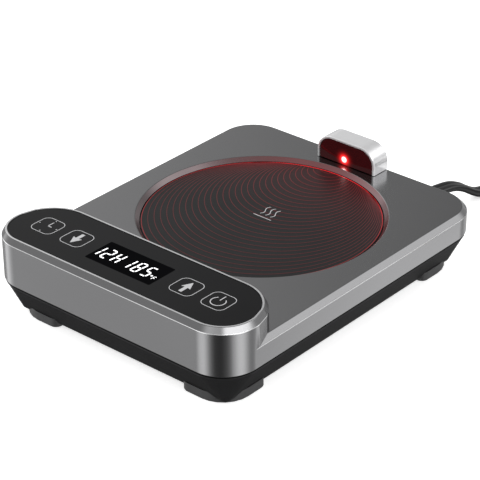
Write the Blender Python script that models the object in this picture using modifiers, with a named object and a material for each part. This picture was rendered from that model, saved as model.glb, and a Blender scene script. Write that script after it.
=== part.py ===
"""Electric warming plate for a carafe or mug, modelled as it comes apart on a bench.

Metres, +Z up. The origin is on the table, under the middle of the housing; the controls face -Y.
Run with: blender --background --python part.py
"""

import math

import bmesh
import bpy
from mathutils import Vector

# Overall size of the housing
WIDTH = 0.170
DEPTH = 0.214
HALF_W = WIDTH / 2
FRONT_Y = -DEPTH / 2
BACK_Y = DEPTH / 2
GAP = 0.0003  # between pieces that touch
ARC_STEPS = 8  # segments in a quarter turn of the large corners

# Heights above the table
BASE_Z = 0.0024
BASE_FLOOR_Z = 0.0046
BASE_TOP_Z = 0.0218
SHELL_Z = 0.0226
DECK_Z = 0.0372
BLOCK_Z = 0.0508
PLATE_Z = 0.0349

# Raised control block: each end is a tight front corner and a fuller back corner
BLOCK_FRONT_R = 0.0210
BLOCK_BACK_R = 0.0274
BLOCK_SIDE_Y = FRONT_Y + BLOCK_FRONT_R  # where the two corners meet, at the side wall
BLOCK_Y = FRONT_Y + (BLOCK_FRONT_R + BLOCK_BACK_R) / 2  # centre line of the glass and the keys
BLOCK_CHAMFER = (0.0020, 0.0034)  # in, down
BLOCK_WALL = 0.0024
POCKET_INSET = 0.0032
PANEL_T = 0.0015
PANEL_TOP_Z = BLOCK_Z - 0.0002
GASKET_T = 0.0005
LEDGE_Z = PANEL_TOP_Z - PANEL_T - GASKET_T - 2 * GAP
LEDGE_T = 0.0016
WINDOW_HALF = (0.0680, 0.0165)  # opening under the glass

# Deck
DECK_R = 0.022
DECK_CHAMFER = 0.0028
DECK_WALL = 0.0020

# Hot plate and its recess
PLATE_C = (0.0, 0.0187)
PLATE_R = 0.0666
PLATE_T = 0.0020
RECESS_R = 0.06935
RECESS_FLOOR_R = 0.06695
SEAT_Z = 0.0315
SEAT_HOLE_R = 0.060
ROUND_SIDES = 48
INNER_SIDES = 32

# Base tray
BASE_LIP_INSET = 0.0006
BASE_FOOT_INSET = 0.01183
BASE_SHARPER = 0.0065  # how much tighter than parallel the corners are at the bottom
BASE_WALL = 0.0018
TONGUE_INSET = 0.0028
TONGUE_H = 0.0032
SCREW_AT = [(x, y) for y in (-0.052, 0.060) for x in (-0.066, 0.066)]
SCREW_HOLE_R = 0.0018
SCREW_SEAT_Z = 0.0056
VENT_HALF = (0.016, 0.0012)
VENT_FIRST_Y = -0.040
VENT_STEP = 0.006
VENTS = 5

# Feet
FOOT_INSET = 0.0095
FOOT_R = 0.017
FOOT_LEG = 0.031
FOOT_LEG_W = 0.010
FOOT_TOP_Z = 0.0056

# Control board, under the glass
BOARD_Z = 0.0410
BOARD_T = 0.0016
BOARD_HALF = (0.0750, 0.0135)
BOARD_SCREW_X = 0.0712
KEY_X = (-0.0617, -0.0403, 0.0369, 0.0583)
DISPLAY_SIZE = (0.046, 0.021, 0.0057)
DISPLAY_X = -0.0015

# Sensor pod
POD_HALF_W = 0.0205
POD_H = 0.0150
POD_R = 0.0102
POD_WALL = 0.0013
POD_FRONT_Y = 0.0922
POD_BACK_Y = 0.1052
POD_Z = DECK_Z + GAP
POD_SCREW = (0.0155, 0.1015)
SENSOR_BOARD_Y = 0.0990
SENSOR_BOARD_SIZE = (0.0240, 0.0012, 0.0100)
EMITTER_X = -0.0012
EMITTER_R = 0.0024
RECEIVER_SIZE = (0.0060, 0.0018, 0.0055)
CABLE_HOLE_Y = 0.0982

# Power board, on the tray's floor under the plate
POWER_BOARD_Z = 0.0080
POWER_BOARD_T = 0.0016
POWER_BOARD_C = (0.0, 0.045)
POWER_BOARD_HALF = (0.048, 0.031)
POWER_BOARD_POSTS = [(x, y) for y in (0.019, 0.071) for x in (-0.043, 0.043)]

# Mains lead: a flat twin lead, laid with its broad side up
CORD_W = 0.009
CORD_T = 0.004
EXIT = (0.0252, 0.0985, 0.0150)
EXIT_TURN = math.radians(12)  # from +Y towards +X
RELIEF_NECK = (0.00575, 0.00375)
RELIEF_COLLAR = 0.0012
RELIEF_OUT = 0.030
COIL_C = (0.093, 0.215)
COIL_R = 0.047
COIL_LOW_Z = 0.0013
COIL_TOP_Z = 0.0191
TIE_T = 0.0009
CORD_ROUTE = [  # from the strain relief to the coil, chosen by hand
    (0.0316, 0.1283, 0.0150),
    (0.0336, 0.1375, 0.0150),
    (0.0356, 0.1465, 0.0144),
    (0.0373, 0.1540, 0.0116),
    (0.0388, 0.1605, 0.0074),
    (0.0402, 0.1670, 0.0039),
    (0.0416, 0.1750, 0.0023),
    (0.0424, 0.1815, 0.0022),
    (0.0430, 0.1870, 0.0022),
]
TAIL_ROUTE = [  # from the coil to the plug
    (0.1400, 0.1825, 0.0150),
    (0.1400, 0.1760, 0.0119),
    (0.1399, 0.1690, 0.0087),
    (0.1398, 0.1620, 0.0070),
    (0.1398, 0.1550, 0.0066),
]
PLUG_AT = (0.1398, 0.1547, 0.0066)

METAL = (0.115, 0.117, 0.120)
BLACK = (0.012, 0.012, 0.013)
RUBBER = (0.020, 0.020, 0.021)
SILVER = (0.62, 0.62, 0.64)
STEEL = (0.50, 0.50, 0.52)
BOARD_GREEN = (0.010, 0.090, 0.040)
MICA = (0.42, 0.36, 0.26)


# ---------------------------------------------------------------- helpers

def clear_scene():
    for item in list(bpy.data.objects):
        bpy.data.objects.remove(item, do_unlink=True)


def new_collection(name):
    collection = bpy.data.collections.new(name)
    bpy.context.scene.collection.children.link(collection)
    return collection


def material(name, colour, roughness, metallic):
    finish = bpy.data.materials.new(name)
    finish.use_nodes = True
    shader = finish.node_tree.nodes["Principled BSDF"]
    shader.inputs["Base Color"].default_value = (*colour, 1.0)
    shader.inputs["Roughness"].default_value = roughness
    shader.inputs["Metallic"].default_value = metallic
    finish.diffuse_color = (*colour, 1.0)
    return finish


def add(name, data, colour=BLACK, roughness=0.5, metallic=0.0):
    """A named piece, with a material of its own."""
    piece = bpy.data.objects.new(name, data)
    PARTS.objects.link(piece)
    data.materials.append(material(name, colour, roughness, metallic))
    return piece


def as_cutter(piece):
    """A piece that only cuts or joins another."""
    for collection in list(piece.users_collection):
        collection.objects.unlink(piece)
    CUTTERS.objects.link(piece)
    piece.hide_render = True
    piece.display_type = "WIRE"
    return piece


def boolean(target, others, operation):
    for other in others:
        as_cutter(other)
        step = target.modifiers.new(operation.lower(), "BOOLEAN")
        step.operation = operation
        step.solver = "EXACT"
        step.object = other
    return target


def cut(target, *others):
    return boolean(target, others, "DIFFERENCE")


def join(target, *others):
    return boolean(target, others, "UNION")


def bevel(piece, width, segments=2):
    step = piece.modifiers.new("bevel", "BEVEL")
    step.width = width
    step.segments = segments
    step.limit_method = "ANGLE"
    step.angle_limit = math.radians(40)
    return piece


def smooth(piece, angle=35):
    piece.data.shade_smooth()
    piece.data.set_sharp_from_angle(angle=math.radians(angle))
    return piece


def arc(centre, radius, start, end, steps):
    """Points on an arc, in degrees, both ends included."""
    angles = [math.radians(start + (end - start) * i / steps) for i in range(steps + 1)]
    return [(centre[0] + radius * math.cos(a), centre[1] + radius * math.sin(a)) for a in angles]


def rounded(corners, radii, steps=5):
    """A polygon with each corner rounded to its radius, in the corners' own order."""
    outline = []
    count = len(corners)
    for i, (corner, radius) in enumerate(zip(corners, radii)):
        here = Vector(corner)
        back = (Vector(corners[i - 1]) - here).normalized()
        ahead = (Vector(corners[(i + 1) % count]) - here).normalized()
        half = back.angle(ahead) / 2
        centre = here + (back + ahead).normalized() * radius / math.sin(half)
        start = here + back * radius / math.tan(half) - centre
        end = here + ahead * radius / math.tan(half) - centre
        turn = math.atan2(start.x * end.y - start.y * end.x, start.dot(end))
        first = math.atan2(start.y, start.x)
        for k in range(steps + 1):
            angle = first + turn * k / steps
            outline.append((centre.x + radius * math.cos(angle), centre.y + radius * math.sin(angle)))
    return outline


def rectangle(half_x, half_y, radius, centre=(0.0, 0.0), steps=5):
    x, y = centre
    corners = [(x - half_x, y - half_y), (x + half_x, y - half_y),
               (x + half_x, y + half_y), (x - half_x, y + half_y)]
    return rounded(corners, [radius] * 4, steps)


def loft(name, rings, **look):
    """A closed solid through rings of equally many points, each anticlockwise seen from the last ring."""
    mesh = bpy.data.meshes.new(name)
    build = bmesh.new()
    rows = [[build.verts.new(point) for point in ring] for ring in rings]
    count = len(rows[0])
    for low, high in zip(rows, rows[1:]):
        for i in range(count):
            j = (i + 1) % count
            build.faces.new((low[i], low[j], high[j], high[i]))
    build.faces.new(reversed(rows[0]))
    build.faces.new(rows[-1])
    build.to_mesh(mesh)
    build.free()
    return add(name, mesh, **look)


def stack(name, outline_at, levels, **look):
    """A loft of one outline at several (inset, height) levels."""
    rings = [[(x, y, z) for x, y in outline_at(inset)] for inset, z in levels]
    return loft(name, rings, **look)


def prism(name, outline, low, high, **look):
    rings = [[(x, y, z) for x, y in outline] for z in (low, high)]
    return loft(name, rings, **look)


def cylinder(name, radius, low, high, centre=(0.0, 0.0), sides=24, **look):
    mesh = bpy.data.meshes.new(name)
    build = bmesh.new()
    bmesh.ops.create_cone(build, cap_ends=True, segments=sides,
                          radius1=radius, radius2=radius, depth=high - low)
    build.to_mesh(mesh)
    build.free()
    piece = add(name, mesh, **look)
    piece.location = (centre[0], centre[1], (low + high) / 2)
    return piece


def block(name, size, centre, **look):
    mesh = bpy.data.meshes.new(name)
    build = bmesh.new()
    bmesh.ops.create_cube(build, size=1.0)
    bmesh.ops.scale(build, vec=size, verts=build.verts)
    build.to_mesh(mesh)
    build.free()
    piece = add(name, mesh, **look)
    piece.location = centre
    return piece


def turned(name, profile, centre=(0.0, 0.0), sides=ROUND_SIDES, closed=True, **look):
    """A turned shape: the (radius, height) profile runs down the outer side, top to bottom."""
    mesh = bpy.data.meshes.new(name)
    build = bmesh.new()
    points = [build.verts.new((radius, 0.0, height)) for radius, height in profile]
    for a, b in zip(points, points[1:]):
        build.edges.new((a, b))
    if closed:
        build.edges.new((points[-1], points[0]))
    build.to_mesh(mesh)
    build.free()
    piece = add(name, mesh, **look)
    piece.location = (centre[0], centre[1], 0.0)
    screw = piece.modifiers.new("turn", "SCREW")
    screw.steps = sides
    screw.render_steps = sides
    screw.use_merge_vertices = True
    screw.merge_threshold = 1e-6
    return piece


def ring(name, outer, inner, low, high, **look):
    """A flat ring about the hot plate's axis."""
    return turned(name, [(outer, high), (outer, low), (inner, low), (inner, high)], PLATE_C,
                  INNER_SIDES, **look)


def smooth_route(points, per_span):
    """Points on a smooth curve through the given ones (Catmull-Rom)."""
    places = [Vector(p) for p in points]
    places = [2 * places[0] - places[1], *places, 2 * places[-1] - places[-2]]
    line = []
    for a, b, c, d in zip(places, places[1:], places[2:], places[3:]):
        for k in range(per_span):
            t = k / per_span
            line.append(0.5 * (2 * b + (c - a) * t + (2 * a - 5 * b + 4 * c - d) * t ** 2
                               + (3 * b - a - 3 * c + d) * t ** 3))
    line.append(places[-2])
    return line


def wire(name, points, radius, per_span=4, resolution=2, flat=0.0, **look):
    """A wire along a smooth route; flat widens it sideways by that much in all."""
    curve = bpy.data.curves.new(name, "CURVE")
    curve.dimensions = "3D"
    curve.twist_mode = "Z_UP"
    curve.bevel_depth = radius
    curve.bevel_resolution = resolution
    curve.extrude = flat / 2
    curve.resolution_u = 1
    curve.use_fill_caps = True
    line = smooth_route(points, per_span) if per_span > 1 else [Vector(p) for p in points]
    spline = curve.splines.new("POLY")
    spline.points.add(len(line) - 1)
    for point, place in zip(spline.points, line):
        point.co = (*place, 1.0)
        point.tilt = math.pi / 2 if flat else 0.0
    return add(name, curve, **look)


# ---------------------------------------------------------------- outlines

def block_outline(inset):
    """The control block in plan."""
    front, back = BLOCK_FRONT_R - inset, BLOCK_BACK_R - inset
    front_x, back_x = HALF_W - BLOCK_FRONT_R, HALF_W - BLOCK_BACK_R
    return (arc((front_x, BLOCK_SIDE_Y), front, -90, 0, ARC_STEPS)
            + arc((back_x, BLOCK_SIDE_Y), back, 0, 90, ARC_STEPS)[1:]
            + arc((-back_x, BLOCK_SIDE_Y), back, 90, 180, ARC_STEPS)
            + arc((-front_x, BLOCK_SIDE_Y), front, 180, 270, ARC_STEPS)[1:])


def deck_outline(inset):
    """The deck, from inside the block to its two round back corners."""
    radius = DECK_R - inset
    x, y = HALF_W - DECK_R, BACK_Y - DECK_R
    front = [(-HALF_W + inset, BLOCK_SIDE_Y), (HALF_W - inset, BLOCK_SIDE_Y)]
    return front + arc((x, y), radius, 0, 90, ARC_STEPS) + arc((-x, y), radius, 90, 180, ARC_STEPS)


def tray_outline(inset, sharper=0.0):
    """The whole housing in plan; sharper takes that much off its corners' radii."""
    x, front_y, back_y = HALF_W - inset, FRONT_Y + inset, BACK_Y - inset
    front, back = BLOCK_FRONT_R - inset - sharper, DECK_R - inset - sharper
    return (arc((x - front, front_y + front), front, -90, 0, ARC_STEPS)
            + arc((x - back, back_y - back), back, 0, 90, ARC_STEPS)
            + arc((-x + back, back_y - back), back, 90, 180, ARC_STEPS)
            + arc((-x + front, front_y + front), front, 180, 270, ARC_STEPS))


def tray_rings(levels):
    """The tray's outline at several (inset, sharper, height) levels."""
    return [[(x, y, z) for x, y in tray_outline(inset, sharper)] for inset, sharper, z in levels]


def foot_outline(side_x, side_y, grow=0.0):
    """A corner pad: a right-angled leg along each side, and a slanted inner edge."""
    x, y = HALF_W - FOOT_INSET + grow, BACK_Y - FOOT_INSET + grow
    leg = FOOT_LEG + 2 * grow
    corners = [(x, y), (x - leg, y), (x - leg, y - FOOT_LEG_W), (x - FOOT_LEG_W, y - leg), (x, y - leg)]
    outline = rounded(corners, [FOOT_R, 0.004, 0.003, 0.003, 0.004], 4)
    outline = [(side_x * px, side_y * py) for px, py in outline]
    return outline if side_x * side_y > 0 else outline[::-1]


def pod_outline(inset, foot=0.0):
    """The sensor pod from the front: an arch with a flat bottom at the given drop below the deck seam."""
    half, top, radius = POD_HALF_W - inset, POD_H - inset, POD_R - inset
    left = arc((-half + radius, top - radius), radius, 180, 90, 8)
    right = arc((half - radius, top - radius), radius, 90, 0, 8)
    outline = [(-half, -foot)] + left + right + [(half, -foot)]
    return outline[::-1]


def pod_slice(name, inset, front, back, foot=0.0, **look):
    """The pod's arch as a slab from y = front to y = back."""
    slab = prism(name, pod_outline(inset, foot), -back, -front, **look)
    slab.rotation_euler = (math.pi / 2, 0.0, 0.0)
    slab.location = (0.0, 0.0, POD_Z)
    return slab


# ---------------------------------------------------------------- housing

def top_housing():
    """Deck and control block in one metal shell, open below."""
    look = dict(colour=METAL, roughness=0.38, metallic=0.9)
    housing = stack("top_housing", deck_outline,
                    [(0, SHELL_Z), (0, DECK_Z - DECK_CHAMFER), (DECK_CHAMFER, DECK_Z)], **look)
    chamfer_in, chamfer_down = BLOCK_CHAMFER
    join(housing, stack("block_body", block_outline,
                        [(0, SHELL_Z), (0, BLOCK_Z - chamfer_down), (chamfer_in, BLOCK_Z)]))

    below = SHELL_Z - 0.002  # cutters reach this far past the open underside
    ceiling = DECK_Z - DECK_WALL
    well = cylinder("well_wall", RECESS_FLOOR_R + 0.0018, SEAT_Z - 0.0018, DECK_Z + 0.01,
                    PLATE_C, ROUND_SIDES)
    deck_hollow = stack("deck_hollow", deck_outline,
                        [(DECK_WALL, below), (DECK_WALL, ceiling - 0.0015), (DECK_WALL + 0.0015, ceiling)])
    cut(deck_hollow, well)
    block_hollow = stack("block_hollow", block_outline,
                         [(BLOCK_WALL, below), (BLOCK_WALL, LEDGE_Z - LEDGE_T)])
    cut(housing, deck_hollow, block_hollow)

    bosses = [cylinder(f"base_boss_{i}", 0.004, 0.0090, ceiling + 0.0005, at, 16)
              for i, at in enumerate(SCREW_AT)]
    bosses += [cylinder(f"board_boss_{side:+d}", 0.0024, BOARD_Z + BOARD_T + GAP, LEDGE_Z - 0.0010,
                        (side * BOARD_SCREW_X, BLOCK_Y), 16) for side in (-1, 1)]
    join(housing, *bosses)

    slope = (RECESS_R - RECESS_FLOOR_R) / (DECK_Z - PLATE_Z)
    over = 0.001
    recess = turned("recess", [(0, DECK_Z + over), (RECESS_R + slope * over, DECK_Z + over),
                               (RECESS_FLOOR_R, PLATE_Z), (RECESS_FLOOR_R, SEAT_Z),
                               (SEAT_HOLE_R, SEAT_Z), (SEAT_HOLE_R, SEAT_Z - 0.004),
                               (0, SEAT_Z - 0.004)], PLATE_C, closed=False)
    pocket = prism("glass_pocket", block_outline(POCKET_INSET), LEDGE_Z, BLOCK_Z + 0.002)
    window = prism("glass_window", rectangle(*WINDOW_HALF, 0.008, (0, BLOCK_Y)), LEDGE_Z - 0.004, BLOCK_Z)
    cut(housing, recess, pocket, window)

    bores = [cylinder(f"base_bore_{i}", SCREW_HOLE_R, 0.0080, 0.0200, at, 12)
             for i, at in enumerate(SCREW_AT)]
    bores += [cylinder(f"board_bore_{side:+d}", 0.0014, BOARD_Z, LEDGE_Z - 0.0016,
                       (side * BOARD_SCREW_X, BLOCK_Y), 12) for side in (-1, 1)]
    bores += [cylinder(f"pod_bore_{side:+d}", 0.0014, ceiling - 0.001, DECK_Z + 0.001,
                       (side * POD_SCREW[0], POD_SCREW[1]), 12) for side in (-1, 1)]
    bores.append(cylinder("pod_cable_hole", 0.0022, ceiling - 0.001, DECK_Z + 0.001, (0, CABLE_HOLE_Y), 12))
    cut(housing, *bores)


def base_pan():
    """Black tray that tapers in towards the table, with a tongue up inside the shell."""
    lip_z = BASE_TOP_Z - 0.0006
    pan = loft("base_pan", tray_rings([
        (BASE_FOOT_INSET, BASE_SHARPER, BASE_Z), (BASE_LIP_INSET + 0.0005, 0, lip_z - 0.0006),
        (BASE_LIP_INSET, 0, lip_z), (BASE_LIP_INSET, 0, BASE_TOP_Z),
        (TONGUE_INSET, 0, BASE_TOP_Z), (TONGUE_INSET, 0, BASE_TOP_Z + TONGUE_H)]),
        colour=BLACK, roughness=0.45)
    inside = TONGUE_INSET + BASE_WALL
    hollow = loft("base_hollow", tray_rings([
        (BASE_FOOT_INSET + 0.0014, BASE_SHARPER - 0.0010, BASE_FLOOR_Z), (inside, 0, lip_z - 0.001),
        (inside, 0, BASE_TOP_Z + 0.010)]))
    corners = [(sx, sy) for sy in (-1, 1) for sx in (-1, 1)]
    cut(hollow, *[prism(f"foot_boss_{sx:+d}{sy:+d}", foot_outline(sx, sy, 0.0020), BASE_Z - 0.002,
                        FOOT_TOP_Z + GAP + 0.0018) for sx, sy in corners])
    cut(pan, hollow)
    posts = [cylinder(f"screw_post_{i}", 0.0048, BASE_Z + 0.0010, 0.0087, at, 16)
             for i, at in enumerate(SCREW_AT)]
    posts += [cylinder(f"board_post_{i}", 0.0025, BASE_Z + 0.0010, POWER_BOARD_Z - GAP, at, 12)
              for i, at in enumerate(POWER_BOARD_POSTS)]
    join(pan, *posts)
    cut(pan, *[prism(f"foot_pocket_{sx:+d}{sy:+d}", foot_outline(sx, sy, GAP), BASE_Z - 0.004,
                     FOOT_TOP_Z + GAP) for sx, sy in corners])
    below = BASE_Z - 0.002
    cut(pan, *[cylinder(f"head_pocket_{i}", 0.0034, below, SCREW_SEAT_Z, at, 16)
               for i, at in enumerate(SCREW_AT)])
    cut(pan, *[cylinder(f"shank_hole_{i}", SCREW_HOLE_R, below, 0.0120, at, 12)
               for i, at in enumerate(SCREW_AT)])
    cut(pan, *[prism(f"vent_{i}", rectangle(*VENT_HALF, 0.0011, (0, VENT_FIRST_Y + VENT_STEP * i), 2),
                     below, BASE_FLOOR_Z + 0.002) for i in range(VENTS)])
    hole_w, hole_h = RELIEF_NECK[0] + GAP, RELIEF_NECK[1] + GAP
    cut(pan, relief_solid("cord_hole", [(-0.020, hole_w, hole_h), (0.020, hole_w, hole_h)]))


def feet():
    names = {(-1, -1): "foot_front_left", (1, -1): "foot_front_right",
             (-1, 1): "foot_back_left", (1, 1): "foot_back_right"}
    for (sx, sy), name in names.items():
        foot = prism(name, foot_outline(sx, sy), 0.0, FOOT_TOP_Z, colour=RUBBER, roughness=0.6)
        bevel(foot, 0.0006, 1)


def base_screws():
    for i, at in enumerate(SCREW_AT):
        head_z = SCREW_SEAT_Z - GAP
        profile = [(0, 0.0170), (0.0012, 0.0170), (0.0014, 0.0166), (0.0014, head_z),
                   (0.0030, head_z), (0.0030, head_z - 0.0015), (0.0024, head_z - 0.0021),
                   (0, head_z - 0.0021)]
        turned(f"base_screw_{i + 1}", profile, at, 16, closed=False,
               colour=STEEL, roughness=0.35, metallic=1.0)


# ---------------------------------------------------------------- control block

def control_parts():
    panel_low = PANEL_TOP_Z - PANEL_T
    panel = prism("control_panel", block_outline(POCKET_INSET + GAP), panel_low, PANEL_TOP_Z,
                  colour=BLACK, roughness=0.08)
    bevel(panel, 0.0003, 1)
    gasket_low = LEDGE_Z + GAP
    gasket = prism("panel_gasket", block_outline(POCKET_INSET + 2 * GAP), gasket_low,
                   gasket_low + GASKET_T, colour=RUBBER, roughness=0.8)
    window = rectangle(WINDOW_HALF[0] + GAP, WINDOW_HALF[1] + GAP, 0.008, (0, BLOCK_Y))
    cut(gasket, prism("gasket_window", window, gasket_low - 0.001, gasket_low + 0.002))

    board_top = BOARD_Z + BOARD_T
    board = prism("control_board", rectangle(*BOARD_HALF, 0.002, (0, BLOCK_Y)), BOARD_Z, board_top,
                  colour=BOARD_GREEN, roughness=0.4)
    cut(board, *[cylinder(f"board_hole_{side:+d}", 0.0014, BOARD_Z - 0.001, board_top + 0.001,
                          (side * BOARD_SCREW_X, BLOCK_Y), 12) for side in (-1, 1)])
    for side, name in ((-1, "control_board_screw_left"), (1, "control_board_screw_right")):
        profile = [(0, 0.0455), (0.0011, 0.0455), (0.0011, BOARD_Z - GAP),
                   (0.0024, BOARD_Z - GAP), (0.0024, BOARD_Z - 0.0016), (0, BOARD_Z - 0.0016)]
        turned(name, profile, (side * BOARD_SCREW_X, BLOCK_Y), 12, closed=False,
               colour=STEEL, roughness=0.35, metallic=1.0)

    size = DISPLAY_SIZE
    display = block("display_module", size,
                    (DISPLAY_X, BLOCK_Y, board_top + GAP + size[2] / 2), colour=BLACK, roughness=0.3)
    bevel(display, 0.0004, 1)
    buzzer = cylinder("buzzer", 0.0045, BOARD_Z - GAP - 0.0045, BOARD_Z - GAP, (0.025, BLOCK_Y), 20,
                      colour=BLACK, roughness=0.5)
    bevel(buzzer, 0.0004, 1)

    names = ("timer", "down", "up", "power")
    for x, name in zip(KEY_X, names):
        low, high = board_top + GAP + 0.0004, panel_low - GAP - 0.0004
        turns, per_turn = 3, 8
        line = []
        for k in range(turns * per_turn + 1):
            share = k / (turns * per_turn)
            angle = math.tau * turns * share
            radius = 0.0030 + 0.0014 * share
            line.append((x + radius * math.cos(angle), BLOCK_Y + radius * math.sin(angle),
                         low + (high - low) * share))
        wire(f"touch_spring_{name}", line, 0.0003, per_span=1, resolution=0,
             colour=STEEL, roughness=0.3, metallic=1.0)


def ribbon_cable():
    """Flat cable from the control board back and down to the power board."""
    route = [(-0.074, 0.0403), (-0.071, 0.0375), (-0.066, 0.0330), (-0.058, 0.0265), (-0.045, 0.0205),
             (-0.030, 0.0170), (-0.012, 0.0150), (0.002, 0.0140), (0.010, 0.0138)]
    curve = bpy.data.curves.new("ribbon_cable", "CURVE")
    curve.dimensions = "2D"
    curve.fill_mode = "NONE"
    curve.extrude = 0.006
    curve.resolution_u = 1
    spline = curve.splines.new("POLY")
    spline.points.add(len(route) - 1)
    for point, (y, z) in zip(spline.points, route):
        point.co = (y, z, 0.0, 1.0)
    cable = add("ribbon_cable", curve, colour=(0.55, 0.55, 0.56), roughness=0.5)
    cable.rotation_euler = (math.pi / 2, 0.0, math.pi / 2)
    cable.location = (-0.020, 0.0, 0.0)
    thick = cable.modifiers.new("thick", "SOLIDIFY")
    thick.thickness = 0.0008
    thick.offset = 0.0


# ---------------------------------------------------------------- hot plate

def heating_stack():
    """The plate and what is clamped under it, on one central stud."""
    cx, cy = PLATE_C
    plate_low = PLATE_Z - PLATE_T
    stud_low, stud_r, hole_r = 0.0215, 0.0025, 0.0030
    turned("heating_plate",
           [(0, PLATE_Z), (PLATE_R - 0.0004, PLATE_Z), (PLATE_R, PLATE_Z - 0.0004), (PLATE_R, plate_low),
            (stud_r, plate_low), (stud_r, stud_low), (0, stud_low)],
           PLATE_C, closed=False, colour=(0.035, 0.037, 0.038), roughness=0.35, metallic=0.3)
    ring("plate_seal", PLATE_R - 0.0004, SEAT_HOLE_R + 0.0005, SEAT_Z + GAP, plate_low - GAP,
         colour=RUBBER, roughness=0.8)
    disc_r = 0.056
    top = plate_low - GAP
    ring("mica_disc_upper", disc_r, hole_r, top - 0.0005, top, colour=MICA, roughness=0.5)
    track_top = top - 0.0005 - GAP
    heating_track(track_top - 0.0005, track_top)
    lower = track_top - 0.0005 - GAP
    ring("mica_disc_lower", disc_r, hole_r, lower - 0.0005, lower, colour=MICA, roughness=0.5)
    pad_top = lower - 0.0005 - GAP
    pad_low = pad_top - 0.0034
    ring("insulation_pad", disc_r, hole_r, pad_low, pad_top, colour=(0.75, 0.74, 0.70), roughness=0.9)
    dish_top, dish_low = pad_low - GAP, pad_low - GAP - 0.0009
    turned("clamp_dish",
           [(0.0580, pad_top), (0.0580, dish_low), (hole_r, dish_low), (hole_r, dish_top),
            (0.0571, dish_top), (0.0571, pad_top)],
           PLATE_C, INNER_SIDES, colour=STEEL, roughness=0.4, metallic=1.0)
    nut = cylinder("clamp_nut", 0.0050, dish_low - GAP - 0.0026, dish_low - GAP, PLATE_C, 6,
                   colour=STEEL, roughness=0.35, metallic=1.0)
    cut(nut, cylinder("nut_bore", 0.0028, 0.015, 0.030, PLATE_C, 20))
    under = dish_low - GAP
    for name, x, radius, long, colour in (("thermistor", 0.026, 0.0012, 0.008, (0.02, 0.02, 0.02)),
                                          ("thermal_fuse", -0.026, 0.0013, 0.011, SILVER)):
        capsule = cylinder(name, radius, -long / 2, long / 2, (0, 0), 12, colour=colour, roughness=0.4)
        capsule.rotation_euler = (0.0, math.pi / 2, 0.0)
        capsule.location = (cx + x, cy, under - radius)
        bevel(capsule, 0.0004, 1)


def heating_track(low, high):
    """The element: a flat metal track wound in a spiral between the mica discs."""
    turns, per_turn, inner, outer, width = 4, 20, 0.010, 0.051, 0.0040
    count = turns * per_turn
    curve = bpy.data.curves.new("heating_element", "CURVE")
    curve.dimensions = "2D"
    curve.fill_mode = "NONE"
    curve.extrude = (high - low) / 2
    curve.resolution_u = 1
    spline = curve.splines.new("POLY")
    spline.points.add(count)
    for k, point in enumerate(spline.points):
        angle = math.tau * k / per_turn
        radius = inner + (outer - inner) * k / count
        point.co = (radius * math.cos(angle), radius * math.sin(angle), 0.0, 1.0)
    track = add("heating_element", curve, colour=(0.45, 0.42, 0.38), roughness=0.4, metallic=1.0)
    track.location = (*PLATE_C, (low + high) / 2)
    wide = track.modifiers.new("wide", "SOLIDIFY")
    wide.thickness = width
    wide.offset = 0.0


# ---------------------------------------------------------------- sensor pod

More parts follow.
